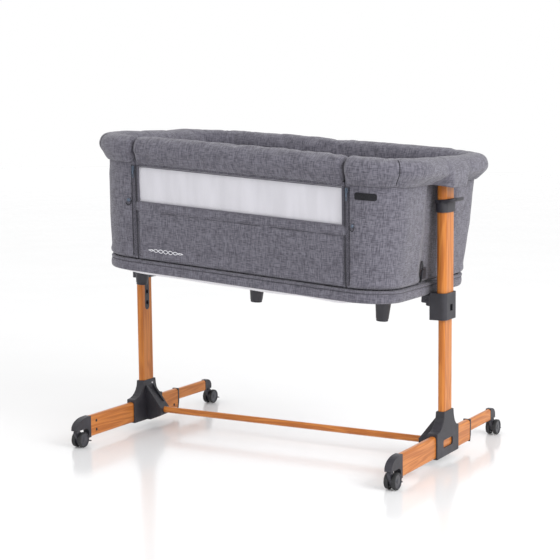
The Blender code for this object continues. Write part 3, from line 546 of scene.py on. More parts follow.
# ---- shader helpers ----
class Nodes:
    """Adds and links nodes in one tree with few words."""

    def __init__(self, tree):
        self.tree = tree

    def add(self, kind, settings=None, **inputs):
        node = self.tree.nodes.new(kind)
        for name, value in (settings or {}).items():
            setattr(node, name, value)
        for name, value in inputs.items():
            self.set(node, name.replace("_", " "), value)
        return node

    def set(self, node, name, value):
        socket = node.inputs[int(name[1:]) if name[0] == "i" and name[1:].isdigit() else name]
        if isinstance(value, bpy.types.NodeSocket):
            self.tree.links.new(value, socket)
        else:
            socket.default_value = value

    def math(self, operation, a, b=0.0, clamp=False):
        settings = {"operation": operation, "use_clamp": clamp}
        return self.add("ShaderNodeMath", settings, i0=a, i1=b).outputs[0]

    def scaled(self, vector, scale):
        node = self.add("ShaderNodeVectorMath", {"operation": "MULTIPLY"}, i0=vector, i1=scale)
        return node.outputs[0]

    def noise(self, vector, scale=1.0, detail=2.0, roughness=0.5, distortion=0.0):
        node = self.add("ShaderNodeTexNoise", Vector=vector, Scale=scale, Detail=detail, Roughness=roughness)
        node.inputs["Distortion"].default_value = distortion
        return node.outputs["Fac"]

    def ramp(self, value, low, high, to_low=0.0, to_high=1.0):
        node = self.add("ShaderNodeMapRange", {"interpolation_type": "SMOOTHSTEP"}, Value=value)
        for name, number in (("From Min", low), ("From Max", high), ("To Min", to_low), ("To Max", to_high)):
            self.set(node, name, number)
        return node.outputs[0]

    def mix(self, factor, a, b, blend="MIX"):
        node = self.add("ShaderNodeMix", {"data_type": "RGBA", "blend_type": blend})
        for index, value in ((0, factor), (6, a), (7, b)):
            self.set(node, f"i{index}", value)
        return node.outputs[2]


def rgba(colour, share=1.0):
    return (*dimmed(colour, share), 1.0)


def dimmed(colour, share):
    return [value * share for value in colour]


def set_inputs(shader, **values):
    """Sets a shader's own sockets, each a number that is the same all over."""
    for name, value in values.items():
        shader.inputs[name.replace("_", " ")].default_value = value


def node_group(name, inputs, outputs, fill):
    """A shader node group made once: inputs and outputs are (name, kind, default) and (name, kind)."""
    if name in bpy.data.node_groups:
        return bpy.data.node_groups[name]
    group = bpy.data.node_groups.new(name, "ShaderNodeTree")
    for label, kind, default in inputs:
        socket = group.interface.new_socket(label, in_out="INPUT", socket_type=f"NodeSocket{kind}")
        if default is not None:
            socket.default_value = default
    for label, kind in outputs:
        group.interface.new_socket(label, in_out="OUTPUT", socket_type=f"NodeSocket{kind}")
    nodes = Nodes(group)
    source = nodes.add("NodeGroupInput")
    target = nodes.add("NodeGroupOutput")
    for label, value in fill(nodes, source.outputs).items():
        nodes.set(target, label, value)
    return group


WEAVE_PITCH = 0.0011  # two threads of the plain weave


def linen_group():
    """Melange linen: slubby threads both ways, mixed from dark and light yarn."""

    def fill(n, given):
        vector = given["Vector"]
        along, across = given["Slub Length"], given["Slub Width"]

        def threads(long_way, short_way, swap, seed):
            stretch = n.add("ShaderNodeCombineXYZ")
            for axis, value in ((0, short_way if swap else long_way), (1, long_way if swap else short_way)):
                n.set(stretch, f"i{axis}", n.math("DIVIDE", 1.0, value))
            placed = n.add("ShaderNodeVectorMath", {"operation": "MULTIPLY_ADD"}, i0=vector)
            n.set(placed, "i1", stretch.outputs[0])
            n.set(placed, "i2", (seed, seed * 1.7, seed * 0.3))
            return n.noise(placed.outputs[0], 1.0, 1.5, 0.5)

        weft = threads(along, across, False, 3.1)
        warp = threads(along, across, True, 17.3)
        wide = n.math("MULTIPLY", across, 2.7)
        long = n.math("MULTIPLY", along, 2.2)
        weft_wide = threads(long, wide, False, 31.9)
        warp_wide = threads(long, wide, True, 47.7)
        near = n.math("ADD", weft, warp)
        far = n.math("ADD", weft_wide, warp_wide)
        mixed = n.math("ADD", n.math("MULTIPLY", near, 0.37), n.math("MULTIPLY", far, 0.13))
        shade = n.ramp(mixed, 0.40, 0.60)
        colour = n.mix(shade, given["Dark Yarn"], given["Light Yarn"])
        # plain weave: over-and-under bumps of crossing threads
        fine = n.scaled(vector, (2 * math.pi / WEAVE_PITCH,) * 3)
        split = n.add("ShaderNodeSeparateXYZ", i0=fine)
        over = n.math("MULTIPLY", n.math("SINE", split.outputs[0]), n.math("SINE", split.outputs[1]))
        height = n.math("ADD", n.math("MULTIPLY", over, 0.35), n.math("MULTIPLY", shade, 0.65))
        return {"Colour": colour, "Shade": shade, "Height": height}

    inputs = (
        ("Vector", "Vector", None),
        ("Dark Yarn", "Color", (0.1, 0.1, 0.1, 1)),
        ("Light Yarn", "Color", (0.3, 0.3, 0.3, 1)),
        ("Slub Length", "Float", 0.012),
        ("Slub Width", "Float", 0.0013),
    )
    outputs = (("Colour", "Color"), ("Shade", "Float"), ("Height", "Float"))
    return node_group("Linen weave", inputs, outputs, fill)


def grain_group():
    """Printed wood grain: long fibres, slow bands and small pores along the vector's Z."""

    def fill(n, given):
        vector = given["Vector"]
        slow = n.noise(n.scaled(vector, (38.0, 38.0, 3.2)), 1.0, 2.0, 0.5, 0.6)
        fibres = n.noise(n.scaled(vector, (420.0, 420.0, 9.0)), 1.0, 3.0, 0.6)
        fine = n.noise(n.scaled(vector, (1500.0, 1500.0, 30.0)), 1.0, 1.0)
        bands = n.math("FRACT", n.math("MULTIPLY", slow, 6.0))
        line = n.ramp(n.math("ABSOLUTE", n.math("SUBTRACT", bands, 0.5)), 0.0, 0.5)
        tone = n.math("ADD", n.math("MULTIPLY", line, 0.28), n.math("MULTIPLY", fibres, 0.72))
        colour = n.mix(n.ramp(tone, 0.25, 0.75), given["Dark Wood"], given["Light Wood"])
        colour = n.mix(n.ramp(fine, 0.60, 0.75, 0.0, 0.30), colour, given["Dark Wood"])
        return {"Colour": colour, "Height": tone}

    inputs = (
        ("Vector", "Vector", None),
        ("Dark Wood", "Color", (0.4, 0.15, 0.04, 1)),
        ("Light Wood", "Color", (0.8, 0.35, 0.12, 1)),
    )
    return node_group("Wood grain film", inputs, (("Colour", "Color"), ("Height", "Float")), fill)


def moulding_group():
    """Moulded plastic: a fine spark texture, faint mottling and a painted highlight that lightens the edges
    in patches.
    """

    def fill(n, given):
        vector = given["Vector"]
        spark = n.noise(vector, 1400.0, 2.0, 0.6)
        mottle = n.noise(vector, 28.0, 2.0, 0.5)
        # painted highlight: sharp outer edges, in patches, are lightened towards the lighter colour as if
        # they caught the light
        geometry = n.add("ShaderNodeNewGeometry")
        edge = n.ramp(geometry.outputs["Pointiness"], 0.52, 0.60)
        patchy_edge_highlight = n.math("MULTIPLY", edge, n.ramp(mottle, 0.35, 0.65, 0.3, 1.0))
        worn = n.math("MULTIPLY", patchy_edge_highlight, given["Wear"], clamp=True)
        shifted = n.mix(n.ramp(mottle, 0.3, 0.7, 0.0, 0.25), given["Colour"], given["Worn Colour"])
        colour = n.mix(worn, shifted, given["Worn Colour"])
        rough = n.math("ADD", given["Gloss Limit"], n.math("MULTIPLY", spark, 0.14))
        rough = n.math("SUBTRACT", rough, n.math("MULTIPLY", worn, 0.08))
        return {"Colour": colour, "Roughness": rough, "Height": spark}

    inputs = (
        ("Vector", "Vector", None),
        ("Colour", "Color", (0.05, 0.05, 0.05, 1)),
        ("Worn Colour", "Color", (0.1, 0.1, 0.1, 1)),
        ("Wear", "Float", 0.6),
        ("Gloss Limit", "Float", 0.42),
    )
    outputs = (("Colour", "Color"), ("Roughness", "Float"), ("Height", "Float"))
    return node_group("Moulded surface", inputs, outputs, fill)


def start_material(name):
    """A new material, the helper for its nodes, its Principled shader and the object's coordinates."""
    material = bpy.data.materials.new(name)
    material.use_nodes = True
    nodes = Nodes(material.node_tree)
    shader = material.node_tree.nodes["Principled BSDF"]
    coordinates = nodes.add("ShaderNodeTexCoord")
    return material, nodes, shader, coordinates


def bump(nodes, shader, height, strength, distance):
    node = nodes.add("ShaderNodeBump", Strength=strength, Distance=distance, Height=height)
    nodes.set(shader, "Normal", node.outputs[0])


def linen(name, dark, light, sheen=0.25, length=0.012, width=0.0013, on_surface=True):
    material, nodes, shader, coordinates = start_material(name)
    group = nodes.add("ShaderNodeGroup", {"node_tree": linen_group()})
    nodes.set(group, "Vector", coordinates.outputs["UV" if on_surface else "Object"])
    for label, value in (("Dark Yarn", rgba(dark)), ("Light Yarn", rgba(light))):
        nodes.set(group, label, value)
    nodes.set(group, "Slub Length", length)
    nodes.set(group, "Slub Width", width)
    nodes.set(shader, "Base Color", group.outputs["Colour"])
    nodes.set(shader, "Roughness", nodes.ramp(group.outputs["Shade"], 0, 1, 0.95, 0.82))
    set_inputs(shader, Sheen_Weight=sheen, Sheen_Roughness=0.5, Specular_IOR_Level=0.25)
    bump(nodes, shader, group.outputs["Height"], 0.45, 0.0006)
    return material


def wood_film(name, settings, grain_axis):
    """The printed film, its grain running along one axis of the object."""
    material, nodes, shader, coordinates = start_material(name)
    group = nodes.add("ShaderNodeGroup", {"node_tree": grain_group()})
    split = nodes.add("ShaderNodeSeparateXYZ", i0=coordinates.outputs["Object"])
    join = nodes.add("ShaderNodeCombineXYZ")
    order = {"X": (1, 2, 0), "Y": (2, 0, 1), "Z": (0, 1, 2)}[grain_axis]
    for target, source in enumerate(order):
        nodes.set(join, f"i{target}", split.outputs[source])
    nodes.set(group, "Vector", join.outputs[0])
    nodes.set(group, "Dark Wood", rgba(settings.wood_dark))
    nodes.set(group, "Light Wood", rgba(settings.wood_light))
    nodes.set(shader, "Base Color", group.outputs["Colour"])
    nodes.set(shader, "Roughness", nodes.ramp(group.outputs["Height"], 0.2, 0.8, 0.36, 0.28))
    set_inputs(shader, Coat_Weight=0.06, Coat_Roughness=0.2, Specular_IOR_Level=0.35)
    bump(nodes, shader, group.outputs["Height"], 0.12, 0.0002)
    return material


def moulded(name, colour, worn, wear=0.6, gloss=0.42, strength=0.25):
    material, nodes, shader, coordinates = start_material(name)
    group = nodes.add("ShaderNodeGroup", {"node_tree": moulding_group()})
    nodes.set(group, "Vector", coordinates.outputs["Object"])
    nodes.set(group, "Colour", rgba(colour))
    # the lighter colour serves the mottling and the painted highlight on the edges
    nodes.set(group, "Worn Colour", rgba(worn))
    nodes.set(group, "Wear", wear)
    nodes.set(group, "Gloss Limit", gloss)
    nodes.set(shader, "Base Color", group.outputs["Colour"])
    nodes.set(shader, "Roughness", group.outputs["Roughness"])
    bump(nodes, shader, group.outputs["Height"], strength, 0.0002)
    return material


def metal(name, colour, roughness=0.35, metallic=1.0):
    """Plated or painted steel, brushed a little and dulled in patches."""
    material, nodes, shader, coordinates = start_material(name)
    brushed = nodes.noise(nodes.scaled(coordinates.outputs["Object"], (900, 900, 90)), 1.0, 2.0)
    dull = nodes.noise(coordinates.outputs["Object"], 60.0, 2.0)
    patches = nodes.ramp(dull, 0.3, 0.7, 0, 0.4)
    nodes.set(shader, "Base Color", nodes.mix(patches, rgba(colour), rgba(colour, 0.7)))
    nodes.set(shader, "Roughness", nodes.math("ADD", nodes.math("MULTIPLY", brushed, 0.2), roughness - 0.1))
    set_inputs(shader, Metallic=metallic)
    bump(nodes, shader, brushed, 0.08, 0.0001)
    return material


NET_CELLS = 620.0  # the net's cells in a metre


def net_material(name, colour):
    """Open net: threads round small holes, seen nearly white from a distance."""
    material, nodes, shader, coordinates = start_material(name)
    place = coordinates.outputs["UV"]
    cells = nodes.add("ShaderNodeTexVoronoi", {"feature": "DISTANCE_TO_EDGE"}, Vector=place)
    set_inputs(cells, Scale=NET_CELLS, Randomness=0.12)
    thread = nodes.ramp(cells.outputs["Distance"], 0.16, 0.34, 1.0, 0.0)
    shade = nodes.noise(nodes.scaled(place, (26, 5, 1)), 1.0, 2.0)
    nodes.set(shader, "Base Color", nodes.mix(nodes.ramp(shade, 0.3, 0.7), rgba(colour, 0.90), rgba(colour)))
    nodes.set(shader, "Alpha", nodes.ramp(thread, 0.0, 1.0, 0.80, 1.0))
    set_inputs(shader, Roughness=0.8, Sheen_Weight=0.2)
    bump(nodes, shader, thread, 0.4, 0.0004)
    return material


MADE = {}


def finish(name):
    """One of the shared materials, made the first time it is asked for."""
    if name in MADE:
        return MADE[name]
    fabric = bpy.context.scene.bassinet_fabric
    stand = bpy.context.scene.bassinet_stand
    dark, light, lining = fabric.dark_yarn, fabric.light_yarn, fabric.lining
    slubs = (fabric.slub_length, fabric.slub_width)
    # label, dark yarn, light yarn, sheen, slub length, slub width, whether the weave follows the surface
    cloths = {
        "linen": ("Grey melange linen", dark, light, 0.25, *slubs),
        "board cover": ("Linen over the base board", dark, light, 0.25, *slubs, False),
        "binding": ("Dark woven binding", dimmed(dark, 0.42), dimmed(light, 0.6), 0.1, 0.004, 0.0008),
        "zip tape": ("Woven zip tape", dimmed(dark, 0.62), dimmed(light, 0.72), 0.1, 0.004, 0.0008),
        "tape": ("Black zip tape", (0.008, 0.008, 0.010), (0.024, 0.024, 0.028), 0.02, 0.003, 0.0006),
        "webbing": (
            "Black webbing", (0.012, 0.012, 0.014), (0.035, 0.035, 0.040), 0.1, 0.0025, 0.0008, False,
        ),
        "white cloth": ("White lining cloth", dimmed(lining, 0.86), lining, 0.2, 0.006, 0.0007),
        "bedding": ("Mattress cover", dimmed(lining, 0.9), lining, 0.3, 0.005, 0.0006, False),
        "white thread": (
            "White embroidery thread", (0.62, 0.62, 0.66), (0.86, 0.86, 0.90), 0.3, 0.002, 0.0003, False,
        ),
        "grey thread": ("Grey sewing thread", dark, light, 0.2, 0.002, 0.0003, False),
    }
    # label, colour, colour of the mottling and the painted edge highlight, strength of the painted edge
    # highlight, gloss limit, strength of the texture
    mouldings = {
        "plastic": ("Black moulded plastic", stand.plastic, dimmed(stand.plastic, 2.2)),
        "wheel": ("Castor wheel plastic", stand.wheel, dimmed(stand.wheel, 2.0), 0.8, 0.26, 0.1),
        "tread": ("Castor tread rubber", (0.016, 0.016, 0.018), (0.05, 0.05, 0.052), 0.5, 0.6, 0.4),
        "zip teeth": ("Zip coil nylon", (0.030, 0.031, 0.040), (0.09, 0.09, 0.11), 0.5, 0.3, 0.1),
    }
    # label, colour, roughness, metallic
    metals = {
        "steel": ("Plated steel", (0.62, 0.62, 0.64), 0.3),
        "dark steel": ("Dark coated steel", (0.055, 0.055, 0.06), 0.45, 0.4),
        "zip metal": ("Zip slider enamel", (0.12, 0.15, 0.20), 0.32, 0.8),
    }
    films = {
        "wood upright": ("Wood film, upright", stand, "Z"),
        "wood lengthwise": ("Wood film, lengthwise", stand, "Y"),
        "wood crosswise": ("Wood film, crosswise", stand, "X"),
    }
    nets = {"net": ("White window net", fabric.net)}
    tables = (
        (linen, cloths),
        (moulded, mouldings),
        (metal, metals),
        (wood_film, films),
        (net_material, nets),
    )
    for make, table in tables:
        if name in table:
            MADE[name] = make(*table[name])
    return MADE[name]


# ---- settings shown in the sidebar ----
def colour_setting(name, description, default):
    return FloatVectorProperty(
        name=name, description=description, default=default, subtype="COLOR", min=0, max=1
    )


def number_setting(name, description, default, **limits):
    return FloatProperty(name=name, description=description, default=default, **limits)


class BassinetFabric(bpy.types.PropertyGroup):
    dark_yarn: colour_setting("Dark yarn", "Darker yarn of the melange linen", (0.078, 0.074, 0.094))
    light_yarn: colour_setting("Light yarn", "Lighter yarn of the melange linen", (0.186, 0.179, 0.216))
    net: colour_setting("Net", "Colour of the window's net", (0.72, 0.71, 0.76))
    lining: colour_setting("Lining", "Colour of the underside and the mattress", (0.82, 0.81, 0.85))
    slub_length: number_setting(
        "Slub length", "Length of the thick places in the yarn", 0.016, min=0.001, max=0.1, unit="LENGTH"
    )
    slub_width: number_setting(
        "Slub width", "Width of the thick places in the yarn", 0.0016, min=0.0003, max=0.01, unit="LENGTH"
    )
    rim_pressure: number_setting(
        "Rim filling", "How hard the rim's wadding pushes its cover out", 3.0, min=0, max=20
    )
    quilt_pitch: number_setting(
        "Quilt pitch", "Distance between the quilting lines", 0.062, min=0.02, max=0.3, unit="LENGTH"
    )


class BassinetStand(bpy.types.PropertyGroup):
    wood_dark: colour_setting("Dark grain", "Darker tone of the wood film", (0.430, 0.126, 0.018))
    wood_light: colour_setting("Light grain", "Lighter tone of the wood film", (0.620, 0.218, 0.040))
    plastic: colour_setting("Plastic", "Colour of the moulded parts", (0.021, 0.020, 0.026))
    wheel: colour_setting("Wheel", "Colour of the castor wheels", (0.036, 0.037, 0.046))


class BassinetStage(bpy.types.PropertyGroup):
    azimuth: number_setting(
        "Azimuth", "Camera direction round the bassinet", math.radians(29.742), subtype="ANGLE"
    )
    elevation: number_setting(
        "Elevation", "Camera height above the horizon", math.radians(6.915), subtype="ANGLE"
    )
    roll: number_setting("Roll", "Camera roll", math.radians(-0.578), subtype="ANGLE")
    lens: number_setting("Lens", "Focal length", 91.34, subtype="DISTANCE_CAMERA")
    key_power: number_setting("Key light", "Power of the soft light", 74.0, unit="POWER")
    fill_power: number_setting("Fill light", "Power of the front light", 3.0, unit="POWER")
    sky: number_setting("Surroundings", "Brightness of the white room", 1.0, min=0)


# ---- stage ----
CAMERA_FROM_POST = Vector((1.8135, -3.2032, 0.8761))  # from the point on the floor between the posts
FLOOR_HALF, FLOOR_Z = 14.0, -0.0006


def make_camera(stage):
    eye = CAMERA_FROM_POST + Vector((0, POST_Y, 0))
    look = Vector(
        (
            -math.sin(stage.azimuth) * math.cos(stage.elevation),
            math.cos(stage.azimuth) * math.cos(stage.elevation),
            -math.sin(stage.elevation),
        )
    )
    flat_right = Vector((math.cos(stage.azimuth), math.sin(stage.azimuth), 0))
    flat_up = flat_right.cross(look)
    right = flat_right * math.cos(stage.roll) + flat_up * math.sin(stage.roll)
    up = flat_up * math.cos(stage.roll) - flat_right * math.sin(stage.roll)
    camera = bpy.data.objects.new("camera", bpy.data.cameras.new("camera"))
    camera.data.sensor_width = 36
    camera.data.lens = stage.lens
    turn = Matrix((right, up, -look)).transposed().to_4x4()
    camera.matrix_world = Matrix.Translation(eye) @ turn
    bpy.context.scene.collection.objects.link(camera)
    bpy.context.scene.camera = camera


def area_light(name, place, aim, size, power):
    light = bpy.data.lights.new(name, "AREA")
    light.shape = "RECTANGLE"
    light.size, light.size_y = size
    light.energy = power
    obj = bpy.data.objects.new(name, light)
    obj.location = place
    obj.rotation_euler = (Vector(aim) - Vector(place)).to_track_quat("-Z", "Y").to_euler()
    bpy.context.scene.collection.objects.link(obj)


def make_floor():
    """A wide pale floor with a faint polish."""
    material, nodes, shader, coordinates = start_material("Pale studio floor")
    cloud = nodes.noise(coordinates.outputs["Object"], 1.3, 2.0)
    nodes.set(shader, "Base Color", nodes.mix(cloud, (0.93, 0.93, 0.935, 1), (0.95, 0.95, 0.955, 1)))
    nodes.set(shader, "Roughness", nodes.ramp(cloud, 0.2, 0.8, 0.12, 0.17))
    set_inputs(shader, Specular_IOR_Level=0.5)
    body = bmesh.new()
    bmesh.ops.create_grid(body, x_segments=8, y_segments=8, size=FLOOR_HALF)
    floor = new_object("floor", new_mesh("floor", body), material)
    floor.location.z = FLOOR_Z


class BASSINET_OT_stage(bpy.types.Operator):
    """Adds the floor, the lights and the camera"""

    bl_idname = "bassinet.stage"
    bl_label = "Stage"

    def execute(self, context):
        stage = context.scene.bassinet_stage
        make_camera(stage)
        make_floor()
        world = bpy.data.worlds.new("white room")
        world.use_nodes = True
        background = world.node_tree.nodes["Background"]
        background.inputs["Color"].default_value = (1, 1, 1, 1)
        background.inputs["Strength"].default_value = stage.sky
        context.scene.world = world
        context.scene.view_settings.view_transform = "Standard"
        area_light("key", (3.4, -0.9, 2.3), (0.2, 0, 0.5), (1.8, 1.8), stage.key_power)
        area_light("fill", (-1.6, -3.6, 1.9), (0, 0, 0.45), (2.2, 1.6), stage.fill_power)
        return {"FINISHED"}


# ---- the cradle's sewn wall ----
ROW_PITCH, COLUMN_PITCH = 0.006, 0.0065
ZIP_EASE = 0.022  # the cloth lies flat beside a zip and reaches its full swell this far from it
TOGGLE_X, TOGGLE_Z = 0.3165, 0.180


def pucker(x, z):
    """Folds that run out from a toggle's anchor on the front wall, as a height in metres."""
    dx, dz = abs(x) - TOGGLE_X, z - TOGGLE_Z
    distance = math.hypot(dx, dz)
    angle = math.atan2(dz, dx)
    rays = math.cos(5 * angle + 0.8) * math.exp(-distance / 0.022)
    dimple = -1.6 * math.exp(-((distance / 0.007) ** 2))
    crease_line = dx * 0.92 + (dz + 0.050) * 0.38
    crease = -0.9 * math.exp(-((crease_line / 0.006) ** 2)) * blend_between(0.10, 0.03, abs(dz + 0.050))
    return 0.0013 * (rays + dimple) + 0.0016 * crease


def wall_swell(point, z, fixed=True):
    """How far the fabric stands out from the drawn surface at a point of the wall."""
    edge = blend_between(0.000, 0.030, z - WALL_LOW.z) * blend_between(0.000, 0.040, WALL_HIGH.z - z)
    near_post = end_recess(point.y) if abs(point.x) > PANEL_X + 0.05 else 0.0
    place = (point.x, point.y, z * 0.8)
    waves = 0.0017 * soft_noise(place, 13.0, 2.0) + 0.0009 * soft_noise(place, 34.0, 5.0)
    belly = 0.0018 * math.sin(math.pi * (z - WALL_LOW.z) / (WALL_HIGH.z - WALL_LOW.z))
    hem = (0.0034 if fixed else 0.0012) * math.exp(-(((z - WALL_LOW.z - 0.010) / 0.0065) ** 2))
    tuck = -0.0030 * blend_between(0.005, 0.0, z - WALL_LOW.z)
    swell = edge * (waves + belly) * (1 - 0.6 * near_post) + hem + tuck
    if fixed and point.y < -0.2 and abs(point.x) > PANEL_X:
        swell += pucker(point.x, z)
    return swell


TUCK = 0.0055  # the wall's top edge runs this far up inside the rim
WALL_X = PANEL_X + 0.0012  # the fixed wall ends here beside a zip


def make_wall():
    places = stations(WALL_X, COLUMN_PITCH)
    top = WALL_HIGH.z + TUCK
    count = round((top - WALL_LOW.z) / ROW_PITCH)
    rows = []
    for i in range(count + 1):
        z = WALL_LOW.z + (top - WALL_LOW.z) * i / count
        row = []
        for place in places:
            point, outward = wall_place(place, z, WALL_X)
            at_zip = blend_between(0.0, ZIP_EASE, abs(abs(point.x) - PANEL_X)) if point.y < -0.2 else 1.0
            point = point + outward * wall_swell(point, z) * at_zip
            row.append(Vector((point.x, point.y, z)))
        rows.append(row)
    wall = grid_object("cradle_wall", rows, finish("linen"))
    thicken(wall, WALL_T)
    subdivide(wall)
    in_cradle(wall, "cradle", ["wall_fabric"])


class BASSINET_OT_wall(bpy.types.Operator):
    """Sews the cradle's ends, back and front corners"""

    bl_idname = "bassinet.wall"
    bl_label = "Cradle wall"

    def execute(self, context):
        make_wall()
        return {"FINISHED"}


# ---- the padded rim ----
SECTION_POINTS = 36
RIM_PITCH = 0.0068
HOOD = 0.0345  # the hood's hem hangs this far outside the rim's line, clear of the post


def hood_share(x, y):
    """1 where the rim hangs over a post as a hood, 0 where its hem is sewn to the wall."""
    return (1 - blend_between(0.042, 0.076, abs(y))) if abs(x) > RIM_L - 0.02 else 0.0


def rim_section(wall_offset, hood):
    """The rim's outline as (outward, up) about its frame tube. It starts under the hem, inside."""
    r = RIM_RADIUS
    w = wall_offset
    sewn = [
        (w - 0.0030, -r - 0.0002), (w + 0.0036, -r - 0.0030), (w + 0.0076, -r + 0.0028),
        (w + (r - w) * 0.60, -r * 0.50), (r * 0.965, -r * 0.06), (r * 0.93, r * 0.44),
        (r * 0.64, r * 0.84), (0.0, r * 1.0), (-r * 0.64, r * 0.83), (-r * 0.93, r * 0.40),
        (-r * 0.97, -r * 0.12), (-r * 0.80 + w * 0.2, -r * 0.62),
        (w - 0.0078, -r - 0.0002), (w - 0.0055, -r - 0.0002),
    ]
    over_post = [
        (HOOD - 0.0028, -r + 0.0010), (HOOD - 0.0010, -r - 0.0090), (HOOD + 0.0014, -r - 0.0080),
        (HOOD + 0.0026, -r * 0.72), (HOOD + 0.0016, -r * 0.06), (r * 0.98, r * 0.46),
        (r * 0.66, r * 0.85), (0.0, r * 1.0), (-r * 0.64, r * 0.83), (-r * 0.94, r * 0.40),
        (-r * 1.00, -r * 0.12), (-r * 1.02, -r * 0.62), (w - 0.0078, -r + 0.0006), (0.0, -r + 0.0014),
    ]
    keys = [(1 - hood) * np.array(a) + hood * np.array(b) for a, b in zip(sewn, over_post)]
    return smooth_loop(keys, SECTION_POINTS)


def rim_columns(places, x_start):
    """Each station's centre, outward direction, wall offset and hood share."""
    columns = []
    for place in places:
        centre, outward = outline_place(place, RIM_L, RIM_W, RIM_R, x_start)
        wall, _ = wall_place(place, RIM_LOW.z, x_start)
        columns.append((centre, outward, (wall - centre).dot(outward), hood_share(centre.x, centre.y)))
    return columns


def rounded_end(distance):
    """How much of its full size the rim's section has, this far from one of its closed ends."""
    reach = 0.011
    if distance >= reach:
        return 1.0
    return 0.70 + 0.30 * math.sqrt(max(0.0, 1 - (1 - distance / reach) ** 2))


def sew_rim_seam(rim, name, column, body):
    """A thin sewn line round the rim's outer side at one of its columns."""
    centre, outward, _, _ = column
    middle = Vector((centre.x, centre.y, RIM_Z))
    line = []
    for i in range(25):
        angle = math.radians(-66 + 130 * i / 24)
        away = Vector((*(outward * math.cos(angle)), math.sin(angle)))
        hit, place, _, _ = rim.ray_cast(middle + away * 0.08, -away)
        if hit:
            line.append(place)
    seam = tube(name, line, 0.0010, finish("tape"), sides=8)
    in_cradle(seam, body)


def make_rim(name, columns, seams, body, node, pressure):
    """A padded rim along columns, closed at both ends, with a sewn groove at each seam distance."""
    run = running_length([Vector((*c[0], 0)) for c in columns])
    rows = [[] for _ in range(SECTION_POINTS)]
    for (centre, outward, offset, hood), distance in zip(columns, run):
        section = rim_section(offset, hood)
        middle = section.mean(axis=0)
        size = rounded_end(min(distance, run[-1] - distance))
        groove = sum(math.exp(-(((distance - seam) / 0.0042) ** 2)) for seam in seams)
        size *= 1 - 0.075 * groove
        gather = math.sin(distance * 2 * math.pi / 0.0125 + 2.5 * soft_noise((distance, 0, 0), 22.0))
        for i, (n, u) in enumerate(section):
            n, u = middle[0] + (n - middle[0]) * size, middle[1] + (u - middle[1]) * size
            near_hem = math.exp(-(((u + RIM_RADIUS) / 0.011) ** 2)) if n > offset else 0.0
            crumple = 0.0012 * soft_noise((distance, u * 1.5, n), 24.0, 7.0) * (0.35 + 0.65 * (u < 0.02))
            n += near_hem * 0.0011 * gather * (0.5 + 0.9 * hood) + crumple * (1 if n > 0 else 0.6)
            point = centre + outward * n
            rows[i].append(Vector((point.x, point.y, RIM_Z + u)))
    rim = grid_object(name, rows[::-1], finish("linen"), wrap_rows=True)
    count = len(columns)
    last = SECTION_POINTS - 1
    under = {last - i for i in (0, 1, 2, last, last - 1, last - 2)}
    sewn = {c: 1.0 for r in under for c in range(r * count, (r + 1) * count)}
    for seam in seams:
        for c in range(count):
            if abs(run[c] - seam) < 0.0036:
                sewn.update({r * count + c: 0.85 for r in range(SECTION_POINTS)})
    for c in (0, 1, count - 2, count - 1):
        sewn.update({r * count + c: 1.0 for r in range(SECTION_POINTS)})
    close_ends(rim)
    inflate(rim, sewn, pressure, cap=0.0045, shrink=-0.018)
    subdivide(rim)
    for number, seam in enumerate(seams):
        nearest = min(range(count), key=lambda c: abs(run[c] - seam))
        sew_rim_seam(rim, f"{name}_seam_{number}", columns[nearest], body)
    in_cradle(rim, body, [node])


def make_rims(fabric):
    start = PANEL_X + 0.0016
    columns = rim_columns(stations(start, RIM_PITCH), start)
    run = running_length([Vector((*c[0], 0)) for c in columns])
    corner = (RIM_L - RIM_R - start) + RIM_R * 0.80
    side = (RIM_L - RIM_R - start) + RIM_R * math.pi / 2 + 2 * (RIM_W - RIM_R)
    seams = [corner, side + RIM_R * 1.1, run[-1] / 2, run[-1] - side - RIM_R * 1.1, run[-1] - corner]
    make_rim("rim_padding", columns, seams, "cradle", "rim_pad", fabric.rim_pressure)
    half = PANEL_X - 0.0014
    count = round(2 * half / RIM_PITCH)
    xs = [half * (2 * i / count - 1) for i in range(count + 1)]
    offset = BASE_W + FLARE * RIM_LOW.z - RIM_W
    front = [(Vector((x, -RIM_W)), Vector((0, -1)), offset, 0.0) for x in xs]
    make_rim("front_rim_padding", front, [], "drop_side", "drop_rim_pad", fabric.rim_pressure)


class BASSINET_OT_rim(bpy.types.Operator):
    """Stuffs and sews the padded rim, with its front stretch on the drop side"""

    bl_idname = "bassinet.rim"
    bl_label = "Padded rim"

    def execute(self, context):
        make_rims(context.scene.bassinet_fabric)
        return {"FINISHED"}


# ---- the drop side ----
def front_point(x, z, proud=0.0):
    """A point of the front wall's outer surface, this far proud of it."""
    return Vector((x, -(BASE_W + FLARE * z) - proud, z))


def panel_swell(x, z):
    point = Vector((x, -BASE_W))
    rest = blend_between(0.0, 0.018, PANEL_X - abs(x)) * blend_between(0.0, 0.02, BAND_Z0 + 0.003 - z)
    return wall_swell(point, z, fixed=False) * blend_between(0.0, 0.014, PANEL_X - abs(x)) + 0.0008 * rest


def make_drop_panel():
    top = WALL_HIGH.z + TUCK
    levels = list(np.linspace(WALL_LOW.z, WINDOW_Z0, 27)) + list(np.linspace(WINDOW_Z0, WINDOW_Z1, 17)[1:])
    levels += [top]
    half = PANEL_X - 0.0010
    columns = list(np.linspace(-half, -WINDOW_X, 4)) + list(np.linspace(-WINDOW_X, WINDOW_X, 95)[1:-1])
    columns += list(np.linspace(WINDOW_X, half, 4))
    rows = [[front_point(x, z, panel_swell(x, z)) for x in columns] for z in levels]

    def in_window(r, c):
        level_with_it = levels[r] >= WINDOW_Z0 - TINY and levels[r + 1] <= WINDOW_Z1 + TINY
        return level_with_it and abs(columns[c] + columns[c + 1]) / 2 < WINDOW_X

    panel = grid_object("front_panel", rows, finish("linen"), skip=in_window)
    prune(panel)
    thicken(panel, WALL_T)
    subdivide(panel)
    in_cradle(panel, "drop_side", ["drop_panel"])


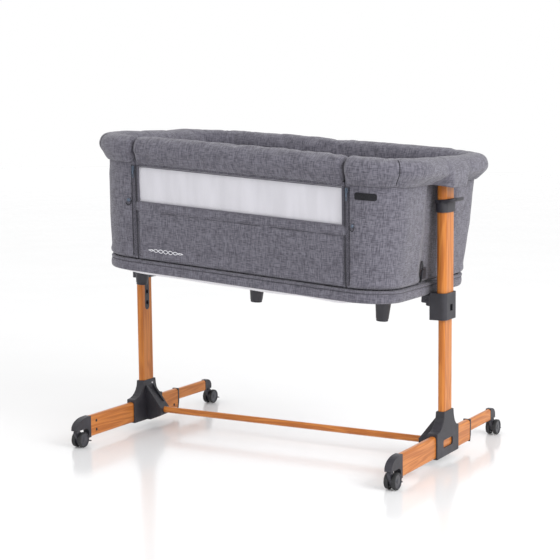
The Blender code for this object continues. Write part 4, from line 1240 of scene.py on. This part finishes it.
def make_window_net():
    margin, upper_margin = 0.003, 0.004
    xs = np.linspace(-WINDOW_X - margin, WINDOW_X + margin, 130)
    zs = np.linspace(WINDOW_Z0 - margin, WINDOW_Z1 + upper_margin, 18)
    rows = []
    for z in zs:
        hold = math.sin(math.pi * min(1, max(0, (z - WINDOW_Z0) / (WINDOW_Z1 - WINDOW_Z0))))
        row = []
        for x in xs:
            folds = 0.0014 * soft_noise((x, 0.2, z * 0.15), 30.0, 3.0)
            slack = folds + 0.0010 * soft_noise((x + 0.4 * z, 0, z), 11.0)
            row.append(front_point(x, z, -0.0040 + hold * slack))
        rows.append(row)
    net = grid_object("window_net", rows, finish("net"))
    thicken(net, 0.0006)
    in_cradle(net, "drop_side", ["window_mesh"])


def make_window_band():
    """The padded band sewn on under the window, a dark cord along its lower edge, and the binding round the
    window. The cord is a seam whose dark colour also paints the band's shadow line.
    """
    count, half = 96, WINDOW_X + 0.011
    xs = [half * (2 * i / count - 1) for i in range(count + 1)]
    profile = [
        (0.0, -0.0004), (0.001, 0.0018), (0.0045, 0.0029), (0.012, 0.0034), (0.019, 0.0029), (0.0232, 0.0020),
        (0.0245, 0.0002), (0.0225, -0.0018), (0.002, -0.0018),
    ]
    rows = []
    for rise, proud in profile:
        row = []
        for x in xs:
            wave = 0.0007 * soft_noise((x, 0, rise), 21.0, 9.0) if proud > 0.001 else 0.0
            end = 1 - 0.5 * blend_between(WINDOW_X + 0.004, half, abs(x))
            row.append(front_point(x, BAND_Z0 + rise, proud * end + wave))
        rows.append(row)
    band = grid_object("window_band", rows, finish("linen"), wrap_rows=True)
    close_ends(band)
    subdivide(band)
    in_cradle(band, "drop_side")
    for place, rise, proud in (("lower", 0.0030, 0.0030), ("upper", 0.0212, 0.0032)):
        line = [front_point(x, BAND_Z0 + rise, proud) for x in np.linspace(-WINDOW_X, WINDOW_X, 40)]
        in_cradle(stitch_row(f"band_{place}_stitches", line, finish("grey thread")), "drop_side")
    # dark cord along the band's lower edge: a seam, and its dark colour is also the painted shadow that the
    # band casts
    lower_edge = [front_point(x, BAND_Z0 - 0.0004, 0.0016) for x in np.linspace(-WINDOW_X, WINDOW_X, 60)]
    in_cradle(tube("band_seam", lower_edge, 0.0008, finish("binding"), sides=8), "drop_side")
    outline = rounded_outline(-WINDOW_X, WINDOW_X, WINDOW_Z0, WINDOW_Z1 - 0.001, 0.003, 3)
    edge = [front_point(x, z, 0.0004) for x, z in outline]
    binding = tube("window_binding", edge, 0.0013, finish("linen"), closed=True, sides=8)
    in_cradle(binding, "drop_side")


def make_embroidery():
    """A braid of two wavy threads, low on the left of the front panel."""
    start, end, low = -0.262, -0.158, 0.0590
    pieces = []
    for k, phase in enumerate((0.0, math.pi)):
        line = []
        for i in range(97):
            share = i / 96
            swell = 0.0044 * math.sin(math.pi * share) ** 0.6
            angle = 7 * math.pi * share + phase
            x = start + (end - start) * share
            z = low + swell * math.sin(angle)
            line.append(front_point(x, z, panel_swell(x, z) + 0.0010 + 0.0005 * math.cos(angle)))
        pieces.append(tube(f"thread_{k}", line, 0.0010, finish("white thread"), sides=8))
    in_cradle(merged("embroidery", pieces), "drop_side")


class BASSINET_OT_drop_side(bpy.types.Operator):
    """Sews the front panel with its net window, band and embroidery"""

    bl_idname = "bassinet.drop_side"
    bl_label = "Drop side"

    def execute(self, context):
        make_drop_panel()
        make_window_net()
        make_window_band()
        make_embroidery()
        return {"FINISHED"}


# ---- zips ----
ZIP_TOP, ZIP_BOTTOM = 0.2700, 0.0405
TOOTH_PITCH, TOOTH_HALF = 0.0023, (0.0011, 0.0007, 0.00075)


def front_swell(x, z, fixed):
    """How far the cloth stands out on the front, on the fixed or on the moving side of a zip."""
    if fixed:
        point = Vector((x, -BASE_W))
        return wall_swell(point, z) * blend_between(0.0, ZIP_EASE, abs(x) - PANEL_X)
    return panel_swell(x, z)


def make_zip(side, sign):
    """Both halves of a zip: a tape on each side and a row of teeth between them."""
    for body, low, high, row_x in (
        ("cradle", PANEL_X + 0.0008, PANEL_X + 0.0120, PANEL_X + 0.0014),
        ("drop_side", PANEL_X - 0.0062, PANEL_X - 0.0008, PANEL_X - 0.0014),
    ):
        half = "fixed" if body == "cradle" else "moving"
        zs = np.linspace(ZIP_BOTTOM, ZIP_TOP, 60)
        rows = []
        for z in zs:
            row = []
            for share in np.linspace(0, 1, 6):
                x = sign * (low + (high - low) * (share if sign > 0 else 1 - share))
                ripple = 0.0002 * math.sin(z * 2 * math.pi / 0.017)
                row.append(front_point(x, z, front_swell(x, z, half == "fixed") + 0.0009 + ripple))
            rows.append(row)
        tape = grid_object(f"zip_tape_{half}_{side}", rows, finish("zip tape"))
        thicken(tape, 0.0009)
        in_cradle(tape, body)
        if body == "cradle":
            edge = [front_point(sign * high, z, front_swell(sign * high, z, True) + 0.0011) for z in zs]
            in_cradle(tube(f"zip_seam_{side}", edge, 0.0007, finish("tape"), sides=8), body)
        teeth = bmesh.new()
        for k in range(int((ZIP_TOP - ZIP_BOTTOM - 0.004) / TOOTH_PITCH)):
            z = ZIP_BOTTOM + 0.002 + TOOTH_PITCH * (k + (0.0 if half == "fixed" else 0.5))
            place = Matrix.Translation(front_point(sign * row_x, z, 0.0020))
            fit = Matrix.Diagonal((*TOOTH_HALF, 1))
            bmesh.ops.create_icosphere(teeth, subdivisions=1, radius=1, matrix=place @ fit)
        mesh = new_mesh(f"zip_teeth_{half}_{side}", teeth)
        mesh.shade_smooth()
        in_cradle(new_object(mesh.name, mesh, finish("zip teeth")), body)


def make_slider(side, sign):
    """The slider's waisted body, its bridge and its pull tab."""
    x, z = sign * (PANEL_X + 0.0060), cradle_box(f"zip_slider_{side}")[1].z - 0.006
    enamel = finish("zip metal")
    slope = Matrix.Rotation(math.atan(FLARE), 4, "X")

    def place(obj, down, proud):
        obj.data.transform(Matrix.Translation(front_point(x, z - down, proud)) @ slope)
        return obj

    waist = rounded_outline(-0.0036, 0.0036, -0.0062, 0.0058, (0.0012, 0.0012, 0.0030, 0.0030), 4)
    shield = place(prism("shield", waist, 0.0016, axis="Y", material=enamel, bevel=0.0004), 0.0, 0.0037)
    line = ((-0.0002, -0.0040), (-0.0018, -0.0034), (-0.0026, 0.0), (-0.0018, 0.0034), (-0.0002, 0.0042))
    bridge = place(tube("bridge", [(0, y, z) for y, z in line], 0.0008, enamel), 0.0, 0.0038)
    pull_outline = rounded_outline(-0.0024, 0.0024, -0.0125, 0.0105, (0.0023, 0.0023, 0.0016, 0.0016), 4)
    pull = prism("pull", pull_outline, 0.0012, axis="Y", material=enamel, bevel=0.0004)
    hole = prism("hole", rounded_outline(-0.0012, 0.0012, -0.0100, -0.0030, 0.0011, 3), 0.004, axis="Y")
    eye = prism("eye", rounded_outline(-0.0012, 0.0012, 0.0060, 0.0090, 0.0010, 3), 0.004, axis="Y")
    place(combine(pull, [hole, eye]), 0.0120, 0.0058)
    slider = merged(f"zip_pull_{side}", [shield, bridge, pull])
    in_cradle(slider, f"zip_{side}", [f"zip_slider_{side}"])


class BASSINET_OT_zips(bpy.types.Operator):
    """Sews in both zips with their teeth and sliders"""

    bl_idname = "bassinet.zips"
    bl_label = "Zips"

    def execute(self, context):
        for side, sign in SIDES.items():
            make_zip(side, sign)
            make_slider(side, sign)
        return {"FINISHED"}


# ---- the base ----
def base_place(station, offset):
    return outline_place(station, BASE_L + offset, BASE_W + offset, BASE_R + offset, 0.0)


BAND_SEAM_Z = 0.0226  # the cord lies in this groove of the band


def make_skirt():
    """The padded band round the base, with a corded seam along its top; the cord's dark colour also paints
    the shade of the groove it lies in.
    """
    profile = [
        (-0.0085, 0.0010), (-0.0040, -0.0006), (0.0004, -0.0006), (0.0022, 0.0030), (0.0032, 0.0090),
        (0.0031, 0.0160), (0.0016, 0.0208), (0.0002, BAND_SEAM_Z), (0.0024, 0.0240), (0.0034, 0.0264),
        (0.0024, 0.0290), (-0.0006, 0.0300), (-0.0050, 0.0302), (-0.0090, 0.0290), (-0.0095, 0.0150),
    ]
    places = stations(0.0, 0.0065, closed=True)
    rows = []
    for n, z in profile:
        row = []
        for place in places:
            point, outward = base_place(place, 0.0)
            at = (point.x, point.y, z)
            wave = 0
            if 0.002 < z < 0.021 and n > 0:
                wave = 0.0009 * soft_noise(at, 17.0, 4.0) + 0.0005 * soft_noise(at, 55.0, 8.0)
            point = point + outward * (n + wave)
            row.append(Vector((point.x, point.y, z)))
        rows.append(row)
    skirt = grid_object("base_band", rows, finish("linen"), wrap_rows=True, wrap_columns=True)
    subdivide(skirt)
    in_cradle(skirt, "cradle", ["base_skirt"])
    # the seam cord is dark binding: a real seam whose darkness also stands for painted shade in the groove
    seam = []
    for place in places:
        point, outward = base_place(place, 0.0012)
        seam.append(Vector((point.x, point.y, BAND_SEAM_Z)))
    in_cradle(tube("base_band_seam", seam, 0.0009, finish("binding"), closed=True, sides=8), "cradle")


SAG = 0.0125
UNDERSIDE_EDGE = -0.0035  # the cloth is sewn on this far inside the base outline


def underside_sag(x, y):
    """How far the white underside hangs at a point: most along the middle, none near the ends."""
    along = 1 - blend_between(0.27, 0.37, abs(x))
    return SAG * along * (0.75 + 0.35 * soft_noise((x, y, 0), 9.0, 6.0))


def make_underside():
    places = stations(0.0, 0.012, closed=True)
    insets = [UNDERSIDE_EDGE, -0.0060, -0.012, -0.022, -0.040, -0.070, -0.105, -0.150, -0.200, -0.245, -0.262]
    rows = []
    for inset in insets:
        row = []
        for place in places:
            length, width = BASE_L + inset, max(BASE_W + inset, 0.0045)
            radius = min(max(0.004, BASE_R + inset), width)
            point, _ = outline_place(place, length, width, radius, 0.0)
            hang = underside_sag(point.x, point.y) * blend_between(0.0035, 0.016, -inset)
            row.append(Vector((point.x, point.y, 0.0006 - hang)))
        rows.append(row)
    cloth = grid_object("underside_cloth", rows, finish("white cloth"), wrap_columns=True)
    close_inner(cloth, len(places))
    thicken(cloth, 0.0008, 1.0)
    in_cradle(cloth, "cradle")
    length, width, radius = (size + UNDERSIDE_EDGE for size in (BASE_L, BASE_W, BASE_R))


def close_inner(obj, count):
    """Fills the small hole left in the middle of a surface made of rings."""
    body = opened(obj.data)
    body.verts.ensure_lookup_table()
    inner = set(body.verts[-count:])
    edges = [e for e in body.edges if e.is_boundary and all(v in inner for v in e.verts)]
    bmesh.ops.holes_fill(body, edges=edges, sides=0)
    bmesh.ops.recalc_face_normals(body, faces=body.faces)
    put_back(body, obj.data)


def make_cradle_feet():
    for node in [n for n in NODES if n.startswith("cradle_foot_")]:
        low, high = cradle_box(node)
        centre = (low + high) / 2
        top, bottom, height = (high.x - low.x) / 2, 0.0145, high.z - low.z
        profile = [
            (0.0, height), (top, height), (top, height - 0.0022), (top - 0.0006, height - 0.0034),
            (bottom + 0.0009, 0.0062), (bottom + 0.0004, 0.0052), (bottom - 0.0004, 0.0046),
            (bottom - 0.0004, 0.0038), (bottom + 0.0002, 0.0030), (bottom, 0.0010),
            (bottom - 0.0010, 0.0002), (0.0, 0.0002),
        ]
        foot = turned(node + "_moulding", profile, (centre.x, centre.y, low.z), "Z", finish("plastic"), 48)
        in_cradle(foot, "cradle", [node])


class BASSINET_OT_base(bpy.types.Operator):
    """Sews the band and the underside, and fits the feet and the frames"""

    bl_idname = "bassinet.base"
    bl_label = "Cradle base"

    def execute(self, context):
        make_skirt()
        make_underside()
        make_cradle_feet()
        for node in ("base_frame", "rim_frame", "drop_rail"):
            paint(node, "dark steel")
        paint("base_board", "board cover")
        for side in SIDES:
            paint(f"end_bracket_{side}", "plastic")
        return {"FINISHED"}


def paint(node, name):
    """Gives a frame node one of the shared materials."""
    for slot in NODES[node].material_slots:
        slot.material = finish(name)


# ---- mattress ----
def make_mattress(fabric):
    low, high = BED_LOW, BED_HIGH
    inset = 0.004
    outline = rounded_outline(low.x + inset, high.x - inset, low.y + inset, high.y - inset, 0.083, 10)
    middle, depth = (low.z + high.z) / 2, high.z - low.z - 2 * inset
    cover = finish("bedding")
    pad = prism("mattress_pad", outline, depth, (0, 0, middle), "Z", cover, bevel=0.012, segments=4)
    remesh = pad.modifiers.new("even mesh", "REMESH")
    remesh.mode = "VOXEL"
    remesh.voxel_size = 0.008
    apply_modifiers(pad)
    inflate(pad, {}, pressure=2.5, cap=0.0055, bending=1.0)
    subdivide(pad)
    pitch = fabric.quilt_pitch
    for vertex in pad.data.vertices:
        x, y, z = vertex.co
        vertex.co.z = min(max(z, low.z), high.z + 0.004)
        if z > middle:
            inside = min(high.x - abs(x), high.y - abs(y))
            fade = blend_between(0.012, 0.035, inside)
            for diagonal in ((x + y) / pitch, (x - y) / pitch):
                away = abs(diagonal - round(diagonal)) * pitch
                vertex.co.z -= 0.0028 * fade * math.exp(-((away / 0.005) ** 2))
    pad.data.shade_smooth()
    in_cradle(pad, "cradle", ["mattress"])
    edge = [(x, y, high.z - 0.010) for x, y in rounded_outline(low.x, high.x, low.y, high.y, 0.087, 12)]
    cord = tube("mattress_piping", edge, 0.0021, cover, closed=True)
    in_cradle(cord, "cradle")


class BASSINET_OT_mattress(bpy.types.Operator):
    """Fills and quilts the mattress"""

    bl_idname = "bassinet.mattress"
    bl_label = "Mattress"

    def execute(self, context):
        make_mattress(context.scene.bassinet_fabric)
        return {"FINISHED"}


# ---- trim ----
TAG_CORNER = 0.0045


def make_tag():
    """A blank woven tag on the front right corner."""
    x0, x1, z0, z1 = 0.3225, 0.3745, 0.2425, 0.2590
    rows = []
    for z in np.linspace(z0, z1, 22):
        row = []
        into_corner = max(0.0, 1 - min(z - z0, z1 - z) / TAG_CORNER)
        cut = TAG_CORNER * (1 - math.sqrt(max(0.0, 1 - into_corner**2)))
        for x in np.linspace(x0 + cut, x1 - cut, 26):
            width, length = BASE_W + FLARE * z, BASE_L + FLARE * z
            bend = max(0.0, x - (length - BASE_R))
            y = -(width - BASE_R) - math.sqrt(max(0.0, BASE_R**2 - bend**2))
            row.append(Vector((x, y - 0.0034, z)))
        rows.append(row)
    tag = grid_object("blank_tag", rows, finish("tape"))
    thicken(tag, 0.0012)
    round_edges(tag, 0.0004, 2)
    in_cradle(tag, "cradle")


def end_wall_point(sign, y, z, proud=0.0):
    """A point on an end wall's outer surface, this far proud of it."""
    length = BASE_L + FLARE * z
    return Vector((sign * (length - (length - END_RECESS_X) * end_recess(y) + proud), y, z))


def make_toggle(side, sign):
    """A button that anchors the drop side's strap, with a short loop of cord behind it."""
    profile = [
        (0, -0.0036), (0.0022, -0.0034), (0.0040, -0.0024), (0.0047, -0.0012), (0.0045, 0.0), (0.0, 0.0006),
    ]
    button = turned("button", profile, (0, 0, 0), "Y", finish("zip metal"), 24)
    middle = sign * TOGGLE_X
    anchor = Vector((middle, -BASE_W))
    centre = front_point(middle, TOGGLE_Z, wall_swell(anchor, TOGGLE_Z) + 0.0004)
    button.data.transform(Matrix.Translation(centre) @ Matrix.Rotation(math.atan(FLARE), 4, "X"))
    loop = []
    for i in range(15):
        angle = math.radians(200 + 220 * i / 14)
        x, z = middle + 0.0068 * math.cos(angle), TOGGLE_Z + (0.0105 * math.sin(angle) - 0.002)
        loop.append(front_point(x, z, wall_swell(anchor, z) + 0.0012))
    cord = tube("loop", loop, 0.0009, finish("webbing"), sides=8)
    in_cradle(merged(f"toggle_{side}", [button, cord]), "cradle")


STRAP_Y, STRAP_HALF, STRAP_Z0, STRAP_Z1 = -0.066, 0.0075, 0.0350, 0.0880


def make_end_strap(side, sign):
    """A webbing strap on the end wall beside the post, with a buckle for tying to the parents' bed."""
    rows = []
    across = np.linspace(-STRAP_HALF, STRAP_HALF, 7)
    for z in np.linspace(STRAP_Z0, STRAP_Z1, 18):
        lift = 0.0032 + 0.0035 * math.sin(math.pi * (z - STRAP_Z0) / (STRAP_Z1 - STRAP_Z0))
        rows.append([end_wall_point(sign, STRAP_Y + y, z, lift) for y in across])
    strap = grid_object(f"end_strap_{side}", rows, finish("webbing"))
    thicken(strap, 0.0014, 1.0)
    in_cradle(strap, "cradle")
    centre = end_wall_point(sign, STRAP_Y, 0.058, 0.0104)
    outlines = {
        "shell": rounded_outline(-0.0105, 0.0105, -0.0125, 0.0105, 0.0035, 5),
        "latch": rounded_outline(-0.0055, 0.0055, -0.0035, 0.0075, 0.0022, 4),
        "bar": rounded_outline(-0.0105, 0.0105, 0.0118, 0.0150, 0.0012, 3),
    }
    pieces = []
    for name, depth, bevel, out, up in (
        ("shell", 0.0056, 0.0011, 0.0, 0.0),
        ("latch", 0.0012, 0.0004, 0.0031, 0.001),
        ("bar", 0.0042, 0.0006, 0.0, 0.0),
    ):
        piece = prism(name, outlines[name], depth, axis="X", material=finish("plastic"), bevel=bevel)
        piece.data.transform(Matrix.Translation(centre + Vector((sign * out, 0, up))))
        pieces.append(piece)
    in_cradle(merged(f"end_buckle_{side}", pieces), "cradle")


class BASSINET_OT_trim(bpy.types.Operator):
    """Adds the tag, the toggles and the webbing loops"""

    bl_idname = "bassinet.trim"
    bl_label = "Trim"

    def execute(self, context):
        make_tag()
        for side, sign in SIDES.items():
            make_toggle(side, sign)
            make_end_strap(side, sign)
        return {"FINISHED"}


# ---- stand ----
def surface_point(node, start, direction):
    """Where a line from start first meets a node, and the surface's outward direction there."""
    hit, place, normal, _ = NODES[node].ray_cast(Vector(start), Vector(direction))
    if not hit:
        raise ValueError(f"nothing of {node} lies that way from {tuple(start)}")
    return place, normal


def screw_head(name, place, normal, radius, material):
    """A low domed screw head with a cross recess."""
    shape = ((0, 0.0014), (0.5, 0.0013), (0.85, 0.0008), (1, 0.0), (1, -0.0004), (0, -0.0004))
    profile = [(radius * share, height) for share, height in shape]
    head = turned(name, profile, (0, 0, 0), "Z", finish(material), 24)
    for long_x, long_y in ((radius * 0.58, radius * 0.13), (radius * 0.13, radius * 0.58)):
        outline = [(-long_x, -long_y), (long_x, -long_y), (long_x, long_y), (-long_x, long_y)]
        combine(head, [prism("cross", outline, 0.0016, (0, 0, 0.0014))])
    turn = Vector(normal).to_track_quat("Z", "Y").to_matrix().to_4x4()
    head.data.transform(Matrix.Translation(place) @ turn)
    return head


def make_screws(side, sign):
    """The dark screws in the foot tube's inner face and the bright one in the bracket's gusset."""
    low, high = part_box(f"foot_tube_{side}")
    middle = (low.z + high.z) / 2
    heads = []
    front_y = low.y + 0.023
    for y, z in ((front_y, middle + 0.012), (front_y, middle - 0.012), (high.y - 0.020, middle - 0.015)):
        place, normal = surface_point(f"foot_tube_{side}", (0, y, z), (sign, 0, 0))
        heads.append(screw_head("screw", place, normal, 0.0038, "tread"))
    on_frame(merged(f"foot_screws_{side}", heads), "stand")
    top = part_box(f"leg_bracket_{side}")[1].z
    place, normal = surface_point(f"leg_bracket_{side}", (0, POST_Y + 0.012, top - 0.012), (sign, 0, 0))
    on_frame(screw_head(f"bracket_screw_{side}", place, normal, 0.0034, "steel"), "stand")


WHEEL_TYRE = 0.0166  # inside this radius a wheel is hub, outside it is tyre


def make_wheels(node):
    """The two wheels of a castor: a rubber tyre round a dished hub with an axle cap."""
    low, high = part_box(node)
    centre = (low + high) / 2
    radius, outer = (high.z - low.z) / 2, (high.x - low.x) / 2
    inner = 0.0045
    half = (outer - inner) / 2
    dished = [
        (0, -half), (0.0060, -half), (0.0066, 0.0007 - half), (0.0150, 0.0007 - half), (0.0160, -half),
        (radius - 0.0012, -half), (radius - 0.0004, 0.0006 - half), (radius, 0.0020 - half),
        (radius, half - 0.0020), (radius - 0.0004, half - 0.0007), (radius - 0.0012, half),
        (WHEEL_TYRE, half), (0.0160, half - 0.0002), (0.0152, half - 0.0016), (0.0075, half - 0.0011),
        (0.0062, half - 0.0011), (0.0057, half - 0.0002), (0.0050, half), (0, half),
    ]
    wheels = []
    for sign in (-1, 1):
        profile = dished if sign > 0 else [(r, -x) for r, x in dished[::-1]]
        wheel = turned("wheel", profile, (0, 0, 0), "X", finish("wheel"), 48)
        wheel.data.materials.append(finish("tread"))
        for face in wheel.data.polygons:
            away = math.hypot(face.center.y, face.center.z)
            face.material_index = int(away > WHEEL_TYRE)
        wheel.data.transform(Matrix.Translation((centre.x + sign * (inner + half), centre.y, centre.z)))
        wheels.append(wheel)
    return wheels


LEVER_WALL, LEVER_RING, LEVER_BRIM, LEVER_HEIGHT = 0.0030, 0.0285, 0.0078, 0.0385


def make_lever(side, sign):
    """The release lever: a sleeve round the upper tube, with a brim that rises outwards as a finger grip."""
    low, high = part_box(f"release_lever_{side}")
    tube_low, tube_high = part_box(f"upper_tube_{side}")
    x, y = (tube_low.x + tube_high.x) / 2, (tube_low.y + tube_high.y) / 2
    half_x, half_y = (tube_high.x - tube_low.x) / 2 + 0.0005, (tube_high.y - tube_low.y) / 2 + 0.0005

    def around(grow, corner):
        return rounded_outline(-half_x - grow, half_x + grow, -half_y - grow, half_y + grow, corner, 8)

    bore = [prism("bore", around(0, half_x - 0.0012), 0.2, axis="Z") for _ in range(2)]
    sleeve = around(LEVER_WALL, half_x + 0.0015)
    ring = prism("ring", sleeve, LEVER_RING, (0, 0, LEVER_RING / 2), "Z", finish("plastic"), 0.0008)
    combine(ring, [bore[0]])
    outer = (high.x if sign > 0 else -low.x) - abs(x)
    side_y = half_y + LEVER_WALL
    lip = rounded_outline(-half_x - LEVER_WALL, outer, -side_y, side_y, (0.008, 0.017, 0.017, 0.008), 10)
    brim = prism("brim", lip, LEVER_BRIM, (0, 0, LEVER_BRIM / 2), "Z", finish("plastic"), 0.0018, 4)
    for vertex in brim.data.vertices:
        beyond = max(0.0, vertex.co.x + half_x * 0.4)
        vertex.co.z += 3.4 * beyond * beyond
    brim.data.transform(Matrix.Translation((0, 0, LEVER_RING - 0.0062)))
    combine(brim, [bore[1]])
    profile = [(0, -0.0004), (0.0016, -0.0004), (0.0016, 0.0004), (0, 0.0005)]
    pin = turned("pin", profile, (0, 0, 0), "Y", finish("tread"), 16)
    pin.data.transform(Matrix.Translation((half_x * 0.45, -side_y, 0.0045)))
    lever = merged(f"release_grip_{side}", [ring, brim, pin])
    if sign < 0:
        lever.data.transform(Matrix.Diagonal((-1, 1, 1, 1)))
        lever.data.flip_normals()
    lever.data.transform(Matrix.Translation((x, y, high.z - LEVER_HEIGHT)))
    on_frame(lever, f"lever_{side}", [f"release_lever_{side}"])


class BASSINET_OT_tubes(bpy.types.Operator):
    """Covers the tubes with wood film"""

    bl_idname = "bassinet.tubes"
    bl_label = "Tubes"

    def execute(self, context):
        for side in SIDES:
            paint(f"lower_post_{side}", "wood upright")
            paint(f"upper_tube_{side}", "wood upright")
            paint(f"foot_tube_{side}", "wood lengthwise")
            paint(f"foot_extension_{side}", "wood lengthwise")
        paint("stretcher", "wood crosswise")
        return {"FINISHED"}


MOULDED = ("front_cap", "end_ring", "rear_cap", "leg_bracket", "height_collar", "height_rack", "post_plug")


class BASSINET_OT_mouldings(bpy.types.Operator):
    """Finishes the brackets, caps, collars and levers"""

    bl_idname = "bassinet.mouldings"
    bl_label = "Mouldings"

    def execute(self, context):
        for side, sign in SIDES.items():
            make_lever(side, sign)
            for part in MOULDED:
                paint(f"{part}_{side}", "plastic")
            paint(f"lock_bolt_{side}", "steel")
            make_screws(side, sign)
        return {"FINISHED"}


class BASSINET_OT_castors(bpy.types.Operator):
    """Builds the castors"""

    bl_idname = "bassinet.castors"
    bl_label = "Castors"

    def execute(self, context):
        for node in NODES:
            if not node.startswith("castor_"):
                continue
            if node.endswith("wheels"):
                end, side = node.split("_")[1:3]
                wheels = joined(f"castor_wheels_{end}_{side}", make_wheels(node))
                on_frame(wheels, f"wheels_{end}_{side}", [node])
            else:
                paint(node, "plastic")
        return {"FINISHED"}


SETTINGS = {
    "bassinet_fabric": BassinetFabric,
    "bassinet_stand": BassinetStand,
    "bassinet_stage": BassinetStage,
}
STEPS = (
    BASSINET_OT_stage,
    BASSINET_OT_tubes,
    BASSINET_OT_mouldings,
    BASSINET_OT_castors,
    BASSINET_OT_wall,
    BASSINET_OT_rim,
    BASSINET_OT_drop_side,
    BASSINET_OT_zips,
    BASSINET_OT_base,
    BASSINET_OT_mattress,
    BASSINET_OT_trim,
)


class BASSINET_PT_sidebar(bpy.types.Panel):
    """Lists the bassinet's pieces and their settings"""

    bl_idname = "BASSINET_PT_sidebar"
    bl_label = "Bassinet"
    bl_space_type = "VIEW_3D"
    bl_region_type = "UI"
    bl_category = "Bassinet"

    def draw(self, context):
        layout = self.layout
        for name, group in SETTINGS.items():
            box = layout.box()
            for prop in group.__annotations__:
                box.prop(getattr(context.scene, name), prop)
        for step in STEPS:
            layout.operator(step.bl_idname)


CLASSES = (*SETTINGS.values(), *STEPS, BASSINET_PT_sidebar)


def register():
    for cls in CLASSES:
        bpy.utils.register_class(cls)
    for name, group in SETTINGS.items():
        setattr(bpy.types.Scene, name, PointerProperty(type=group))


def unregister():
    for name in SETTINGS:
        delattr(bpy.types.Scene, name)
    for cls in reversed(CLASSES):
        bpy.utils.unregister_class(cls)


def main():
    register()
    for step in STEPS:
        group, action = step.bl_idname.split(".")
        getattr(getattr(bpy.ops, group), action)()


if __name__ == "__main__":
    main()
